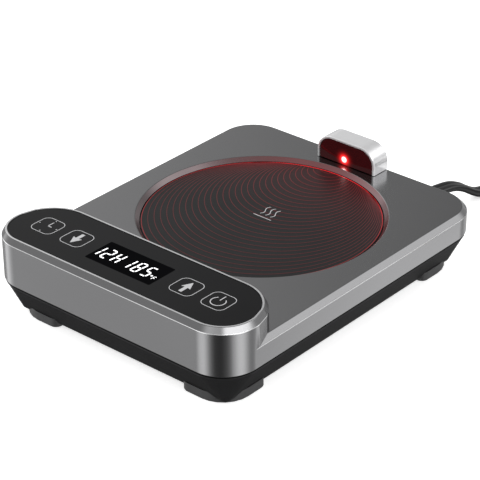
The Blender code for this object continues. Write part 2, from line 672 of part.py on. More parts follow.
def sensor_pod():
    hood = pod_slice("sensor_hood", 0.0, POD_FRONT_Y, POD_BACK_Y,
                     colour=SILVER, roughness=0.22, metallic=1.0)
    inner_back = POD_BACK_Y - 0.0015
    cut(hood, pod_slice("pod_hollow", POD_WALL, POD_FRONT_Y - 0.002, inner_back, foot=0.002))
    sides = (-1, 1)
    join(hood, *[cylinder(f"pod_post_{s:+d}", 0.0026, POD_Z, POD_Z + 0.0075,
                          (s * POD_SCREW[0], POD_SCREW[1]), 14) for s in sides])
    cut(hood, *[cylinder(f"pod_thread_{s:+d}", 0.0013, POD_Z - 0.001, POD_Z + 0.0060,
                         (s * POD_SCREW[0], POD_SCREW[1]), 12) for s in sides])

    lens_front = POD_FRONT_Y + 0.0003
    lens_back = lens_front + 0.0014
    pod_slice("sensor_lens", POD_WALL + GAP, lens_front, lens_back, foot=-0.0002,
              colour=(0.10, 0.005, 0.006), roughness=0.05)
    holder_front = lens_back + GAP
    holder_back = holder_front + 0.0016
    holder = pod_slice("sensor_holder", POD_WALL + 0.0009, holder_front, holder_back, foot=-0.0002,
                       colour=BLACK, roughness=0.5)
    window = block("holder_window", (0.0280, 0.010, 0.0090), (-0.0009, holder_front, POD_Z + 0.0062))
    cut(holder, window)

    board_w, board_t, board_h = SENSOR_BOARD_SIZE
    block("sensor_board", SENSOR_BOARD_SIZE,
          (0.0, SENSOR_BOARD_Y + board_t / 2, POD_Z + 0.0002 + board_h / 2),
          colour=BOARD_GREEN, roughness=0.4)
    dome = holder_back + GAP
    long, flange = SENSOR_BOARD_Y - GAP - dome, 0.0006
    profile = [(0, 0.0), (EMITTER_R * 0.5, 0.0002), (EMITTER_R * 0.87, 0.0008), (EMITTER_R, 0.0016),
               (EMITTER_R, long - flange), (EMITTER_R + 0.0004, long - flange),
               (EMITTER_R + 0.0004, long), (0, long)]
    emitter = turned("ir_emitter", [(r, -d) for r, d in profile], (0, 0), 16, closed=False,
                     colour=(0.5, 0.02, 0.02), roughness=0.1)
    emitter.rotation_euler = (math.pi / 2, 0.0, 0.0)
    emitter.location = (EMITTER_X, dome, POD_Z + 0.0034)
    receiver = block("ir_receiver", RECEIVER_SIZE,
                     (0.0070, SENSOR_BOARD_Y - GAP - RECEIVER_SIZE[1] / 2, POD_Z + 0.0062),
                     colour=BLACK, roughness=0.3)
    bevel(receiver, 0.0004, 1)

    ceiling = DECK_Z - DECK_WALL
    for s, name in ((-1, "sensor_screw_left"), (1, "sensor_screw_right")):
        profile = [(0, POD_Z + 0.0050), (0.0010, POD_Z + 0.0050), (0.0010, ceiling - GAP),
                   (0.0022, ceiling - GAP), (0.0022, ceiling - 0.0015), (0, ceiling - 0.0015)]
        turned(name, profile, (s * POD_SCREW[0], POD_SCREW[1]), 12, closed=False,
               colour=STEEL, roughness=0.35, metallic=1.0)
    wire("sensor_cable", [(0, CABLE_HOLE_Y, 0.0375), (0, 0.0981, 0.0330), (0, 0.0970, 0.0265),
                          (-0.003, 0.0900, 0.0205), (-0.010, 0.0810, 0.0155), (-0.016, 0.0730, 0.0130)],
         0.0012, per_span=3, colour=BLACK, roughness=0.6)


# ---------------------------------------------------------------- mains side

def power_parts():
    top = POWER_BOARD_Z + POWER_BOARD_T
    seat = top + GAP
    prism("power_board", rectangle(*POWER_BOARD_HALF, 0.002, POWER_BOARD_C, 2), POWER_BOARD_Z, top,
          colour=BOARD_GREEN, roughness=0.4)
    for name, size, x, y, colour in (
            ("relay", (0.0190, 0.0150, 0.0130), -0.032, 0.062, (0.02, 0.10, 0.30)),
            ("transformer", (0.0160, 0.0160, 0.0120), -0.006, 0.052, (0.60, 0.45, 0.05)),
            ("terminal_block", (0.0200, 0.0110, 0.0100), 0.028, 0.066, (0.05, 0.30, 0.12))):
        box = block(name, size, (x, y, seat + size[2] / 2), colour=colour, roughness=0.4)
        bevel(box, 0.0006, 1)
    can = cylinder("filter_capacitor", 0.0040, seat, seat + 0.0115, (0.014, 0.040), 20,
                   colour=BLACK, roughness=0.3)
    bevel(can, 0.0005, 1)
    tube = cylinder("board_fuse", 0.0026, -0.010, 0.010, (0, 0), 14, colour=SILVER, roughness=0.2)
    tube.rotation_euler = (0.0, math.pi / 2, 0.0)
    tube.location = (0.032, 0.050, seat + 0.0026)

    for name, x in (("heater_lead_live", 0.020), ("heater_lead_neutral", 0.030)):
        wire(name, [(x - 0.004, -0.022, 0.0217), (x - 0.002, -0.010, 0.0195), (x, 0.006, 0.0150),
                    (x + 0.002, 0.022, 0.0125), (x + 0.003, 0.034, 0.0115)], 0.0011, per_span=3,
             colour=(0.65, 0.65, 0.66), roughness=0.6)
    for name, dx, colour in (("mains_tail_live", -0.0022, (0.5, 0.3, 0.1)),
                             ("mains_tail_neutral", 0.0022, (0.1, 0.2, 0.5))):
        wire(name, [(0.0238 + dx, 0.0914, 0.0150), (0.0237 + dx, 0.0860, 0.0150),
                    (0.0242 + dx * 1.2, 0.0790, 0.0143), (0.0260 + dx * 1.4, 0.0724, 0.0140)],
             0.0012, per_span=3, colour=colour, roughness=0.5)
    clamp = block("cord_clamp", (0.0200, 0.0070, 0.0030), (0.0236, 0.0862, 0.0190),
                  colour=BLACK, roughness=0.5)
    bevel(clamp, 0.0006, 1)


def relief_solid(name, sections, **look):
    """Oblong sections (distance along the lead, half width, half height), along the lead's own way out."""
    rings = []
    for along, half_w, half_h in sections:
        outline = rectangle(half_w, half_h, half_h * 0.96, steps=4)
        rings.append([(-x, along, z) for x, z in outline])
    solid = loft(name, rings, **look)
    solid.location = EXIT
    solid.rotation_euler = (0.0, 0.0, -EXIT_TURN)
    return solid


def mains_lead():
    neck = RELIEF_NECK
    collar = (neck[0] + RELIEF_COLLAR, neck[1] + RELIEF_COLLAR)
    flange = (0.0078, 0.0056)  # inside the wall
    relief_solid("strain_relief",
                 [(-0.0065, *flange), (-0.0045, *flange), (-0.0044, *neck), (0.0078, *neck),
                  (0.0079, *collar), (0.0100, *collar), (0.0120, 0.0060, 0.0039),
                  (RELIEF_OUT, 0.0050, 0.0028)], colour=RUBBER, roughness=0.6)
    flat = CORD_W - CORD_T
    wire("power_cord", CORD_ROUTE, CORD_T / 2, per_span=3, flat=flat, colour=BLACK, roughness=0.45)
    outer, inner = COIL_R + CORD_W / 2 + GAP, COIL_R - CORD_W / 2 - GAP
    turned("cord_coil", [(outer, COIL_TOP_Z), (outer, COIL_LOW_Z), (inner, COIL_LOW_Z), (inner, COIL_TOP_Z)],
           COIL_C, 36, colour=BLACK, roughness=0.45)
    coil_tie(inner - GAP, outer + GAP)
    wire("power_cord_tail", TAIL_ROUTE, CORD_T / 2, per_span=2, flat=flat, colour=BLACK, roughness=0.45)
    plug()


def coil_tie(inner, outer):
    """A strap closed round the turns on the coil's far side."""
    width = 0.006
    mid, half = (inner + outer) / 2, (outer - inner) / 2
    half_height = (COIL_TOP_Z - COIL_LOW_Z) / 2 + GAP
    tie = prism("coil_tie", rectangle(half + TIE_T, half_height + TIE_T, 0.0012, (mid, 0), 3),
                -width / 2, width / 2, colour=RUBBER, roughness=0.7)
    hole = prism("tie_hole", rectangle(half, half_height, 0.0006, (mid, 0), 3), -width, width)
    for piece in (tie, hole):
        piece.rotation_euler = (math.pi / 2, 0.0, 0.0)
        piece.location = (COIL_C[0], COIL_C[1], (COIL_LOW_Z + COIL_TOP_Z) / 2)
    cut(tie, hole)


def plug():
    """Two-pin plug lying flat, its blades towards -Y."""
    x, y, z = PLUG_AT
    sections = [(0.0, 0.0056, 0.0036), (0.0120, 0.0072, 0.0048), (0.0150, 0.0110, 0.0060),
                (0.0180, 0.0122, 0.0065), (0.0380, 0.0122, 0.0065), (0.0395, 0.0112, 0.0058)]
    rings = []
    for along, half_w, half_h in sections:
        outline = rectangle(half_w, half_h, half_h * 0.6, steps=3)
        rings.append([(px, -along, pz) for px, pz in outline])
    body = loft("plug_body", rings, colour=BLACK, roughness=0.45)
    body.location = PLUG_AT
    for side, name in ((-1, "plug_blade_left"), (1, "plug_blade_right")):
        blade = block(name, (0.0015, 0.0160, 0.0063), (x + side * 0.00635, y - 0.0395 - GAP - 0.0080, z),
                      colour=(0.70, 0.55, 0.25), roughness=0.3, metallic=1.0)
        bevel(blade, 0.0004, 1)


clear_scene()
PARTS = new_collection("hot_plate_burner")
CUTTERS = new_collection("cutters")

top_housing()
base_pan()
feet()
base_screws()
control_parts()
ribbon_cable()
heating_stack()
sensor_pod()
power_parts()
mains_lead()
for part in PARTS.objects:
    if part.type == "MESH":
        smooth(part)
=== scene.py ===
import math

import bmesh
import bpy
from mathutils import Matrix, Vector


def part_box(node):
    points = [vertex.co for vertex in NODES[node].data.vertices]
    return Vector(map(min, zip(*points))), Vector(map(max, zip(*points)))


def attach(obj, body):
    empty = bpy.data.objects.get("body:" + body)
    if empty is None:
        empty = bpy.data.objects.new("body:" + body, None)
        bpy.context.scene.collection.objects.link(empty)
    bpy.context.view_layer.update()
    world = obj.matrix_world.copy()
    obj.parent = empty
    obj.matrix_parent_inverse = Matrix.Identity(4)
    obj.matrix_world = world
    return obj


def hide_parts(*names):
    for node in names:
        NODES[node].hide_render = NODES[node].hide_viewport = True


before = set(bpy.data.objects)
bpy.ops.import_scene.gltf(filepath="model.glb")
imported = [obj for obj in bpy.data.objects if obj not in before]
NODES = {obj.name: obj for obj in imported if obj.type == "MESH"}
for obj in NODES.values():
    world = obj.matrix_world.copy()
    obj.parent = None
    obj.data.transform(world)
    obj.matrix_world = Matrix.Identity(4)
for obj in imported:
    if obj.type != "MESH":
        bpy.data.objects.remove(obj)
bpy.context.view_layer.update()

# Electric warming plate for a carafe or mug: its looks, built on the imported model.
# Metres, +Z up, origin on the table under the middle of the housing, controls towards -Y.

SCENE = bpy.context.scene

# Sizes, as in the CAD. Levels from the table up, then the control block and its glass
HALF_W = 0.085
FRONT_Y = -0.107
BACK_Y = 0.107
GAP = 0.0003
BASE_Z = 0.0024
BASE_FLOOR_Z = 0.0046
BASE_TOP_Z = 0.0218
SHELL_Z = 0.0226
DECK_Z = 0.0372
BLOCK_Z = 0.0508
PLATE_Z = 0.0349

BLOCK_FRONT_R = 0.0210
BLOCK_BACK_R = 0.0274
BLOCK_SIDE_Y = FRONT_Y + BLOCK_FRONT_R
BLOCK_Y = FRONT_Y + (BLOCK_FRONT_R + BLOCK_BACK_R) / 2
BLOCK_IN, BLOCK_DOWN = 0.0020, 0.0034
POCKET_INSET = 0.0032
PANEL_TOP_Z = 0.0506
PANEL_LOW_Z = 0.0491
LEDGE_Z = 0.0480
LEDGE_T = 0.0016
WINDOW_HALF = (0.0680, 0.0165)
WINDOW_R = 0.008

# Deck, and the thickness of the shell
DECK_R = 0.022
DECK_CHAMFER = 0.0028
SHELL_WALL = 0.0020
BLOCK_WALL = 0.0024

# Hot plate, its recess and its seat
PLATE_C = (0.0, 0.0187)
PLATE_R = 0.0666
PLATE_T = 0.0020
RECESS_R = 0.06935
RECESS_FLOOR_R = 0.06695
SEAT_Z = 0.0315
SEAT_T = 0.0018
SEAT_HOLE_R = 0.060

# Tray, with its screws and vents, and the feet
BASE_FOOT_INSET = 0.01183
BASE_SHARPER = 0.0065
BASE_LIP_INSET = 0.0006
BASE_LIP_Z = BASE_TOP_Z - 0.0006
TONGUE_INSET = 0.0028
TONGUE_T = 0.0018
TONGUE_H = 0.0032
SCREW_HEAD_R = 0.0034
VENT_HALF, VENT_R = (0.016, 0.0012), 0.0011
VENT_Y = [-0.040 + 0.006 * i for i in range(5)]
SCREW_AT = [(x, y) for y in (-0.052, 0.060) for x in (-0.066, 0.066)]
FOOT_INSET = 0.0095
FOOT_R = 0.017
FOOT_LEG = 0.031
FOOT_LEG_W = 0.010
FOOT_TOP_Z = 0.0056

# Touch keys, and the sensor pod
KEY_X = (-0.0617, -0.0403, 0.0369, 0.0583)
KEY_Y = -0.0830
POD_HALF_W = 0.0205
POD_H = 0.0150
POD_R = 0.0102
POD_WALL = 0.0013
POD_FRONT_Y = 0.0922
POD_BACK_Y = 0.1052
POD_Z = DECK_Z + GAP
EMITTER_X, EMITTER_Z = -0.0012, 0.0409
LENS_Y = POD_FRONT_Y + GAP

# Mains lead
CORD_W = 0.009
CORD_T = 0.004
EXIT = (0.0252, 0.0985, 0.0150)
EXIT_TURN = math.radians(12)
RELIEF_OUT = 0.030
RELIEF_HALF_W, RELIEF_HALF_H = 0.00575, 0.00375
COIL_C = (0.093, 0.215)
COIL_R = 0.047
PLUG_AT = (0.1398, 0.1547, 0.0066)


# -------------------- camera

def place_camera():
    """The viewing direction, framing and long lens of a product picture."""
    azimuth, elevation, roll = (math.radians(a) for a in (41.07, 29.28, -0.53))
    target, distance = Vector((-0.00803, 0.00958, 0.02163)), 1.1528
    back = Vector((math.sin(azimuth) * math.cos(elevation), -math.cos(azimuth) * math.cos(elevation),
                   math.sin(elevation)))
    right = Vector((math.cos(azimuth), math.sin(azimuth), 0.0))
    up = back.cross(right)
    side = right * math.cos(roll) + up * math.sin(roll)
    top = up * math.cos(roll) - right * math.sin(roll)
    data = bpy.data.cameras.new("view")
    data.sensor_width = 36.0
    data.lens = 157.4
    data.clip_start = 0.05
    data.clip_end = 50.0
    camera = bpy.data.objects.new("view", data)
    SCENE.collection.objects.link(camera)
    turn = Matrix((side, top, back)).transposed().to_4x4()
    turn.translation = target + back * distance
    camera.matrix_world = turn
    SCENE.camera = camera


place_camera()


# -------------------- mesh helpers

def smoothstep(x):
    x = max(0.0, min(1.0, x))
    return x * x * (3 - 2 * x)


def arc(cx, cy, radius, start, end, steps):
    """Points on an arc, in degrees, both ends included."""
    angles = [math.radians(start + (end - start) * i / steps) for i in range(steps + 1)]
    return [(cx + radius * math.cos(a), cy + radius * math.sin(a)) for a in angles]


def corner(before, here, after, radius, steps):
    """The arc that rounds one corner of a line."""
    here = Vector(here)
    back = (Vector(before) - here).normalized()
    ahead = (Vector(after) - here).normalized()
    half = back.angle(ahead) / 2
    if radius <= 0 or half > math.radians(89):
        return [tuple(here)]
    centre = here + (back + ahead).normalized() * radius / math.sin(half)
    start = here + back * radius / math.tan(half) - centre
    end = here + ahead * radius / math.tan(half) - centre
    turn = math.atan2(start.x * end.y - start.y * end.x, start.dot(end))
    first = math.atan2(start.y, start.x)
    return [(centre.x + radius * math.cos(first + turn * k / steps),
             centre.y + radius * math.sin(first + turn * k / steps)) for k in range(steps + 1)]


def fillet(points, radii):
    """An open line with its inner corners rounded; radii has one number for each inner corner."""
    line = [tuple(points[0])]
    for i, radius in enumerate(radii, start=1):
        line += corner(points[i - 1], points[i], points[i + 1], radius, 4)
    return line + [tuple(points[-1])]


def rounded(points, radii, steps=8):
    """A closed outline with its corners rounded."""
    count = len(points)
    outline = []
    for i, radius in enumerate(radii):
        outline += corner(points[i - 1], points[i], points[(i + 1) % count], radius, steps)
    return outline


def rectangle(half_x, half_y, radius, centre=(0.0, 0.0), steps=8):
    x, y = centre
    return rounded([(x - half_x, y - half_y), (x + half_x, y - half_y),
                    (x + half_x, y + half_y), (x - half_x, y + half_y)], [radius] * 4, steps)


def disc(x, y, radius, sides):
    return arc(x, y, radius, 0, 360, sides)[:-1]


def at_height(outline, z):
    return [(x, y, z) for x, y in outline]


def plate_circle(radius, z):
    return at_height(disc(*PLATE_C, radius, 128), z)


def quarter_round(radius, steps):
    """A small rounded edge as (inset, depth) pairs, from the face over to the wall."""
    angles = [math.radians(90 * i / steps) for i in range(steps + 1)]
    return [(radius - radius * math.sin(a), radius - radius * math.cos(a)) for a in angles]


class Solid:
    """Collects strips and flat fills, then welds them into one closed mesh."""

    def __init__(self):
        self.bm = bmesh.new()

    def row(self, points):
        return [self.bm.verts.new(p) for p in points]

    def strips(self, rows, closed=True):
        """Faces between neighbouring rows of points; points that meet give a triangle or nothing."""
        rows = [self.row(r) for r in rows]
        for low, high in zip(rows, rows[1:]):
            count = len(low)
            for i in range(count if closed else count - 1):
                j = (i + 1) % count
                quad = []
                for v in (low[i], low[j], high[j], high[i]):
                    if all((v.co - w.co).length > 1e-8 for w in quad):
                        quad.append(v)
                if len(quad) > 2:
                    self.bm.faces.new(quad)

    def cap(self, points):
        self.bm.faces.new(self.row(points))

    def tower(self, rings):
        """A closed form through rings of points, capped at both ends."""
        self.strips(rings)
        self.cap(rings[0])
        self.cap(rings[-1])

    def fill(self, *loops):
        """A flat face inside the first loop, with the other loops as holes."""
        edges = []
        for loop in loops:
            verts = self.row(loop)
            edges += [self.bm.edges.new((a, b)) for a, b in zip(verts, verts[1:] + verts[:1])]
        bmesh.ops.triangle_fill(self.bm, use_beauty=True, use_dissolve=False, edges=edges)

    def done(self, name, weld=2e-7):
        bmesh.ops.remove_doubles(self.bm, verts=self.bm.verts, dist=weld)
        bmesh.ops.dissolve_degenerate(self.bm, dist=1e-8, edges=self.bm.edges)
        bmesh.ops.recalc_face_normals(self.bm, faces=self.bm.faces)
        mesh = bpy.data.meshes.new(name)
        self.bm.to_mesh(mesh)
        self.bm.free()
        return add(name, mesh)


def add(name, data):
    piece = bpy.data.objects.new(name, data)
    SCENE.collection.objects.link(piece)
    return piece


def cut(piece, *cutters):
    """Takes the cutters' shapes out of the piece's mesh, and removes the cutters."""
    for cutter in cutters:
        step = piece.modifiers.new("cut", "BOOLEAN")
        step.operation = "DIFFERENCE"
        step.solver = "EXACT"
        step.object = cutter
    graph = bpy.context.evaluated_depsgraph_get()
    old, name = piece.data, piece.data.name
    piece.data = bpy.data.meshes.new_from_object(piece.evaluated_get(graph), depsgraph=graph)
    piece.modifiers.clear()
    for mesh in (old, *[cutter.data for cutter in cutters]):
        bpy.data.meshes.remove(mesh)
    piece.data.name = name
    return piece


def stack(name, rings):
    """A closed solid through rings of points, capped at both ends."""
    solid = Solid()
    solid.tower(rings)
    return solid.done(name)


def prism(name, outline, low, high):
    return stack(name, [at_height(outline, low), at_height(outline, high)])


def sweep(name, path, section):
    """A section of (side, up) points carried along a path, kept level."""
    rings = []
    for i, place in enumerate(path):
        ahead = (path[min(i + 1, len(path) - 1)] - path[max(i - 1, 0)]).normalized()
        side = ahead.cross(Vector((0, 0, 1))).normalized()
        up = side.cross(ahead)
        rings.append([tuple(place + side * a + up * b) for a, b in section])
    return stack(name, rings)


def smooth_route(points, per_span):
    """Points on a smooth curve through the given ones (Catmull-Rom)."""
    places = [Vector(p) for p in points]
    places = [2 * places[0] - places[1], *places, 2 * places[-1] - places[-2]]
    line = []
    for a, b, c, d in zip(places, places[1:], places[2:], places[3:]):
        for k in range(per_span):
            t = k / per_span
            line.append(0.5 * (2 * b + (c - a) * t + (2 * a - 5 * b + 4 * c - d) * t ** 2
                               + (3 * b - a - 3 * c + d) * t ** 3))
    line.append(places[-2])
    return line


def finish_piece(piece, look, slot, *nodes, angle=38, weighted=True):
    """Smooth shading that keeps the edges sharper than angle, and the flats flat where it is weighted; then
    material, body and the CAD nodes that the piece stands for. The slot argument is not used."""
    piece.data.shade_smooth()
    piece.data.set_sharp_from_angle(angle=math.radians(angle))
    if weighted:
        step = piece.modifiers.new("weighted", "WEIGHTED_NORMAL")
        step.keep_sharp = True
        step.weight = 80
    piece.data.materials.clear()
    piece.data.materials.append(look)
    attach(piece, "root")
    if nodes:
        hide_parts(*nodes)
    return piece


# -------------------- materials

def nodes_of(name):
    look = bpy.data.materials.new(name)
    look.use_nodes = True
    tree = look.node_tree
    return look, tree, tree.nodes["Principled BSDF"]


def socket(node, name):
    return next(s for s in node.inputs if s.name == name and s.enabled)


def feed(tree, into, value):
    """Sets a node's input to a number or colour, or links another node's output to it."""
    if isinstance(value, bpy.types.NodeSocket):
        tree.links.new(value, into)
    else:
        into.default_value = value


def calculate(tree, operation, *values):
    node = tree.nodes.new("ShaderNodeMath")
    node.operation = operation
    for into, value in zip(node.inputs, values):
        feed(tree, into, value)
    return node.outputs[0]


def noise(tree, scale, detail, stretch=None):
    """Noise in the piece's own metres; stretch squashes it along an axis, for a drawn grain."""
    texture = tree.nodes.new("ShaderNodeTexNoise")
    texture.inputs["Scale"].default_value = scale
    texture.inputs["Detail"].default_value = detail
    texture.inputs["Roughness"].default_value = 0.55
    source = tree.nodes.new("ShaderNodeTexCoord").outputs["Object"]
    if stretch:
        squash = tree.nodes.new("ShaderNodeMapping")
        squash.inputs["Scale"].default_value = stretch
        tree.links.new(source, squash.inputs["Vector"])
        source = squash.outputs["Vector"]
    tree.links.new(source, texture.inputs["Vector"])
    return texture.outputs["Fac"]


def spread(tree, value, low, high, start=0.3, end=0.7):
    ranged = tree.nodes.new("ShaderNodeMapRange")
    for key, number in zip(("From Min", "From Max", "To Min", "To Max"), (start, end, low, high)):
        ranged.inputs[key].default_value = number
    tree.links.new(value, ranged.inputs["Value"])
    return ranged.outputs["Result"]


def blend(tree, share, first, second):
    """From the first colour to the second as share goes from 0 to 1."""
    mix = tree.nodes.new("ShaderNodeMix")
    mix.data_type = "RGBA"
    for name, value in (("Factor", share), ("A", first), ("B", second)):
        feed(tree, socket(mix, name), value)
    return next(s for s in mix.outputs if s.enabled)


def colours(tree, share, first, second):
    return blend(tree, share, (*first, 1.0), (*second, 1.0))


def finish_look(name, colour, rough, metallic=0.0, vary=0.06, rough_vary=0.04, grain=900.0, depth=0.00002,
                broad=40.0, stretch=None, specular=None, sheen=None):
    """A surface whose colour, roughness and relief all vary a little, at two scales."""
    look, tree, shader = nodes_of(name)
    shader.inputs["Metallic"].default_value = metallic
    if specular is not None:
        shader.inputs["Specular IOR Level"].default_value = specular
    if sheen:
        shader.inputs["Sheen Weight"].default_value = sheen
    wide = noise(tree, broad, 2.0)
    fine = noise(tree, grain, 3.0, stretch)
    dark = tuple(c * (1 - vary) for c in colour)
    light = tuple(min(1.0, c * (1 + vary)) for c in colour)
    tree.links.new(colours(tree, spread(tree, wide, 0.0, 1.0), dark, light), shader.inputs["Base Color"])
    tree.links.new(spread(tree, fine, rough - rough_vary, rough + rough_vary), shader.inputs["Roughness"])
    relief = tree.nodes.new("ShaderNodeBump")
    relief.inputs["Distance"].default_value = depth
    tree.links.new(fine, relief.inputs["Height"])
    tree.links.new(relief.outputs["Normal"], shader.inputs["Normal"])
    return look


SATIN = {"metallic": 1.0, "grain": 1600.0, "depth": 0.0000015, "broad": 18.0}
GLOSSY = {"vary": 0.05, "rough_vary": 0.01, "grain": 300.0, "depth": 0.0000003}
SHELL = finish_look("shell_metal", (0.30, 0.30, 0.305), 0.20, vary=0.015, rough_vary=0.015, **SATIN)
# A lighter copy of the shell metal, a painted highlight on the rim round the glass and the chamfers' lower
# edges.
EDGE = finish_look("shell_edge_painted_highlight", (0.92, 0.92, 0.93), 0.24, vary=0.02, rough_vary=0.02, **SATIN)
GLASS = finish_look("panel_glass", (0.0055, 0.0055, 0.006), 0.07, specular=0.15, **GLOSSY)
WINDOW = finish_look("display_window", (0.0035, 0.0035, 0.004), 0.12, specular=0.0, **GLOSSY)
BASE = finish_look("base_plastic", (0.010, 0.010, 0.0105), 0.42, vary=0.10, rough_vary=0.05, grain=1500.0,
                   depth=0.00003, specular=0.25)
RUBBER = finish_look("foot_rubber", (0.030, 0.030, 0.031), 0.50, vary=0.10, rough_vary=0.06, grain=1100.0,
                     depth=0.00003)
SEAL = finish_look("seal_rubber", (0.012, 0.012, 0.012), 0.7, grain=900.0)
SILVER = finish_look("hood_silver", (0.88, 0.88, 0.89), 0.20, metallic=0.55, vary=0.02, rough_vary=0.02,
                     grain=1800.0, depth=0.000002, broad=60.0)
PLASTIC = finish_look("inner_plastic", (0.020, 0.020, 0.021), 0.45, vary=0.12, rough_vary=0.05)
BOARD = finish_look("board", (0.012, 0.10, 0.045), 0.40, vary=0.25, rough_vary=0.08, grain=500.0, broad=160.0)
PART = finish_look("component", (0.03, 0.07, 0.16), 0.40, vary=0.12)
MICA = finish_look("mica", (0.40, 0.33, 0.23), 0.48, vary=0.22, rough_vary=0.10, grain=260.0, broad=120.0,
                   depth=0.00004)
FIBRE = finish_look("insulation", (0.70, 0.69, 0.64), 0.92, vary=0.08, grain=700.0, depth=0.00010, sheen=0.3)
STEEL = finish_look("steel", (0.50, 0.50, 0.51), 0.32, metallic=1.0, vary=0.06, rough_vary=0.07,
                    grain=600.0, stretch=(1.0, 1.0, 0.08))
BRASS = finish_look("contact_brass", (0.70, 0.56, 0.30), 0.26, metallic=1.0, vary=0.05, rough_vary=0.06,
                    grain=500.0, stretch=(1.0, 0.08, 1.0))
WIRE = finish_look("wire_insulation", (0.30, 0.28, 0.26), 0.50, vary=0.06, grain=700.0)
CORD = finish_look("cord_pvc", (0.012, 0.012, 0.0125), 0.36, vary=0.10, rough_vary=0.05, grain=1200.0,
                   depth=0.00002)
PRINT = finish_look("key_print", (0.52, 0.52, 0.53), 0.45, vary=0.04, rough_vary=0.05, grain=1500.0,
                    depth=0.000002)


def lit_print():
    """Lit display segments, of slightly uneven brightness."""
    look, tree, shader = nodes_of("display_light")
    shader.inputs["Roughness"].default_value = 0.5
    even = noise(tree, 220.0, 1.0)
    tree.links.new(colours(tree, even, (0.86, 0.88, 0.90), (1.0, 1.0, 1.0)), shader.inputs["Base Color"])
    tree.links.new(colours(tree, even, (0.90, 0.92, 0.94), (1.0, 1.0, 1.0)), shader.inputs["Emission Color"])
    shader.inputs["Emission Strength"].default_value = 1.0
    return look


def glow_look(name, colour, rough, glow, centre, near, far, top, bottom=0.0, power=1.6, core=0.0, **more):
    """A surface that glows from strength top, near a point on the object, down to bottom, far from it; within
    core the glow turns white. The emitter has this glow as its own light; on the plate, its rings and rim
    line, the recess wall and the lens it is painted red light."""
    look = finish_look(name, colour, rough, **more)
    tree = look.node_tree
    shader = tree.nodes["Principled BSDF"]
    apart = tree.nodes.new("ShaderNodeVectorMath")
    apart.operation = "DISTANCE"
    apart.inputs[1].default_value = centre
    tree.links.new(tree.nodes.new("ShaderNodeTexCoord").outputs["Object"], apart.inputs[0])
    fade = calculate(tree, "POWER", spread(tree, apart.outputs["Value"], 1.0, 0.0, near, far), power)
    tree.links.new(spread(tree, fade, bottom, top, 0.0, 1.0), shader.inputs["Emission Strength"])
    shader.inputs["Emission Color"].default_value = (*glow, 1.0)
    if core:
        heat = spread(tree, apart.outputs["Value"], 1.0, 0.0, core * 0.3, core)
        tree.links.new(colours(tree, heat, glow, (1.0, 0.85, 0.82)), shader.inputs["Emission Color"])
    return look


DIGITS = lit_print()
# Centre of the painted red light from the sensor: the glow painted on the plate, its rim line and the recess
# wall grows towards it, and the ring arcs are drawn in towards it.
RING_SOURCE = (-0.0080, 0.0998)  # under the sensor: the printed rings are drawn in towards it
GLOW_AT = (*RING_SOURCE, PLATE_Z)
# The plate's own dark coating, with a painted pool of red light that fades away from the sensor.
PLATE = glow_look("plate_coating", (0.011, 0.0115, 0.012), 0.34, (1.0, 0.04, 0.05), GLOW_AT, near=0.015,
                  far=0.100, top=0.030, power=2.0, vary=0.10, rough_vary=0.03, grain=2400.0,
                  depth=0.000006, broad=30.0, specular=0.22)
# The recess wall: the shell metal tinted red, with painted red glow fading away from the sensor; both paint
# the sensor's light.
RECESS_WALL_PAINTED_GLOW = glow_look("recess_wall_painted_red_glow", (0.23, 0.19, 0.195), 0.20, (1.0, 0.03, 0.04), GLOW_AT, near=0.025,
                     far=0.110, top=0.09, vary=0.015, rough_vary=0.015, **SATIN)
# Red arcs that paint the sensor's light on the plate, glowing with painted red light, dim everywhere and
# stronger near the sensor.
SENSOR_LIGHT_RINGS = glow_look("painted_sensor_light_rings", (0.062, 0.005, 0.0065), 0.45, (1.0, 0.05, 0.06), GLOW_AT, near=0.02,
                  far=0.13, top=0.12, bottom=0.035, power=1.8, vary=0.05, grain=1500.0, depth=0.000002)
# A painted red glow line round the plate's edge, brightest near the sensor.
RIM_GLOW_LINE = glow_look("painted_rim_glow", (0.20, 0.010, 0.012), 0.40, (1.0, 0.015, 0.02), GLOW_AT, near=0.03,
                     far=0.13, top=0.9, bottom=0.05, power=2.4, vary=0.05, grain=1500.0, depth=0.000002)
LENS_SPOT = (EMITTER_X, LENS_Y, EMITTER_Z)
# The red lens glows with painted light from the emitter behind it: red fading out from the emitter, white at
# its middle.
LENS = glow_look("lens_red", (0.045, 0.003, 0.004), 0.06, (1.0, 0.02, 0.02), LENS_SPOT, near=0.0004,
                 far=0.0110, top=7.0, power=8.0, core=0.0022, **GLOSSY)
CORE = glow_look("emitter_core", (0.5, 0.02, 0.02), 0.2, (1.0, 0.35, 0.30), LENS_SPOT, near=0.0,
                 far=0.010, top=14.0, bottom=4.0, vary=0.02, depth=0.000001)


# -------------------- cord

CORD_ROUTE = [
    (0.0316, 0.1283, 0.0150), (0.0336, 0.1375, 0.0150), (0.0356, 0.1465, 0.0144), (0.0373, 0.1540, 0.0116),
    (0.0388, 0.1605, 0.0074), (0.0402, 0.1670, 0.0039), (0.0416, 0.1750, 0.0023), (0.0424, 0.1815, 0.0022),
    (0.0430, 0.1870, 0.0022), (0.0438, 0.1960, 0.0024), (0.0449, 0.2080, 0.0029),
]
TAIL_ROUTE = [
    (0.1400, 0.2060, 0.0167), (0.1400, 0.1970, 0.0167), (0.1400, 0.1890, 0.0163), (0.1400, 0.1825, 0.0149),
    (0.1400, 0.1760, 0.0119), (0.1399, 0.1690, 0.0087), (0.1398, 0.1620, 0.0070), (0.1398, 0.1560, 0.0066),
]
LAYER_Z = 0.0035
LAYER_PITCH = 0.0044
COIL_START = 167.0
COIL_TURNS = 3.0 + COIL_START / 360.0
PER_TURN = 48


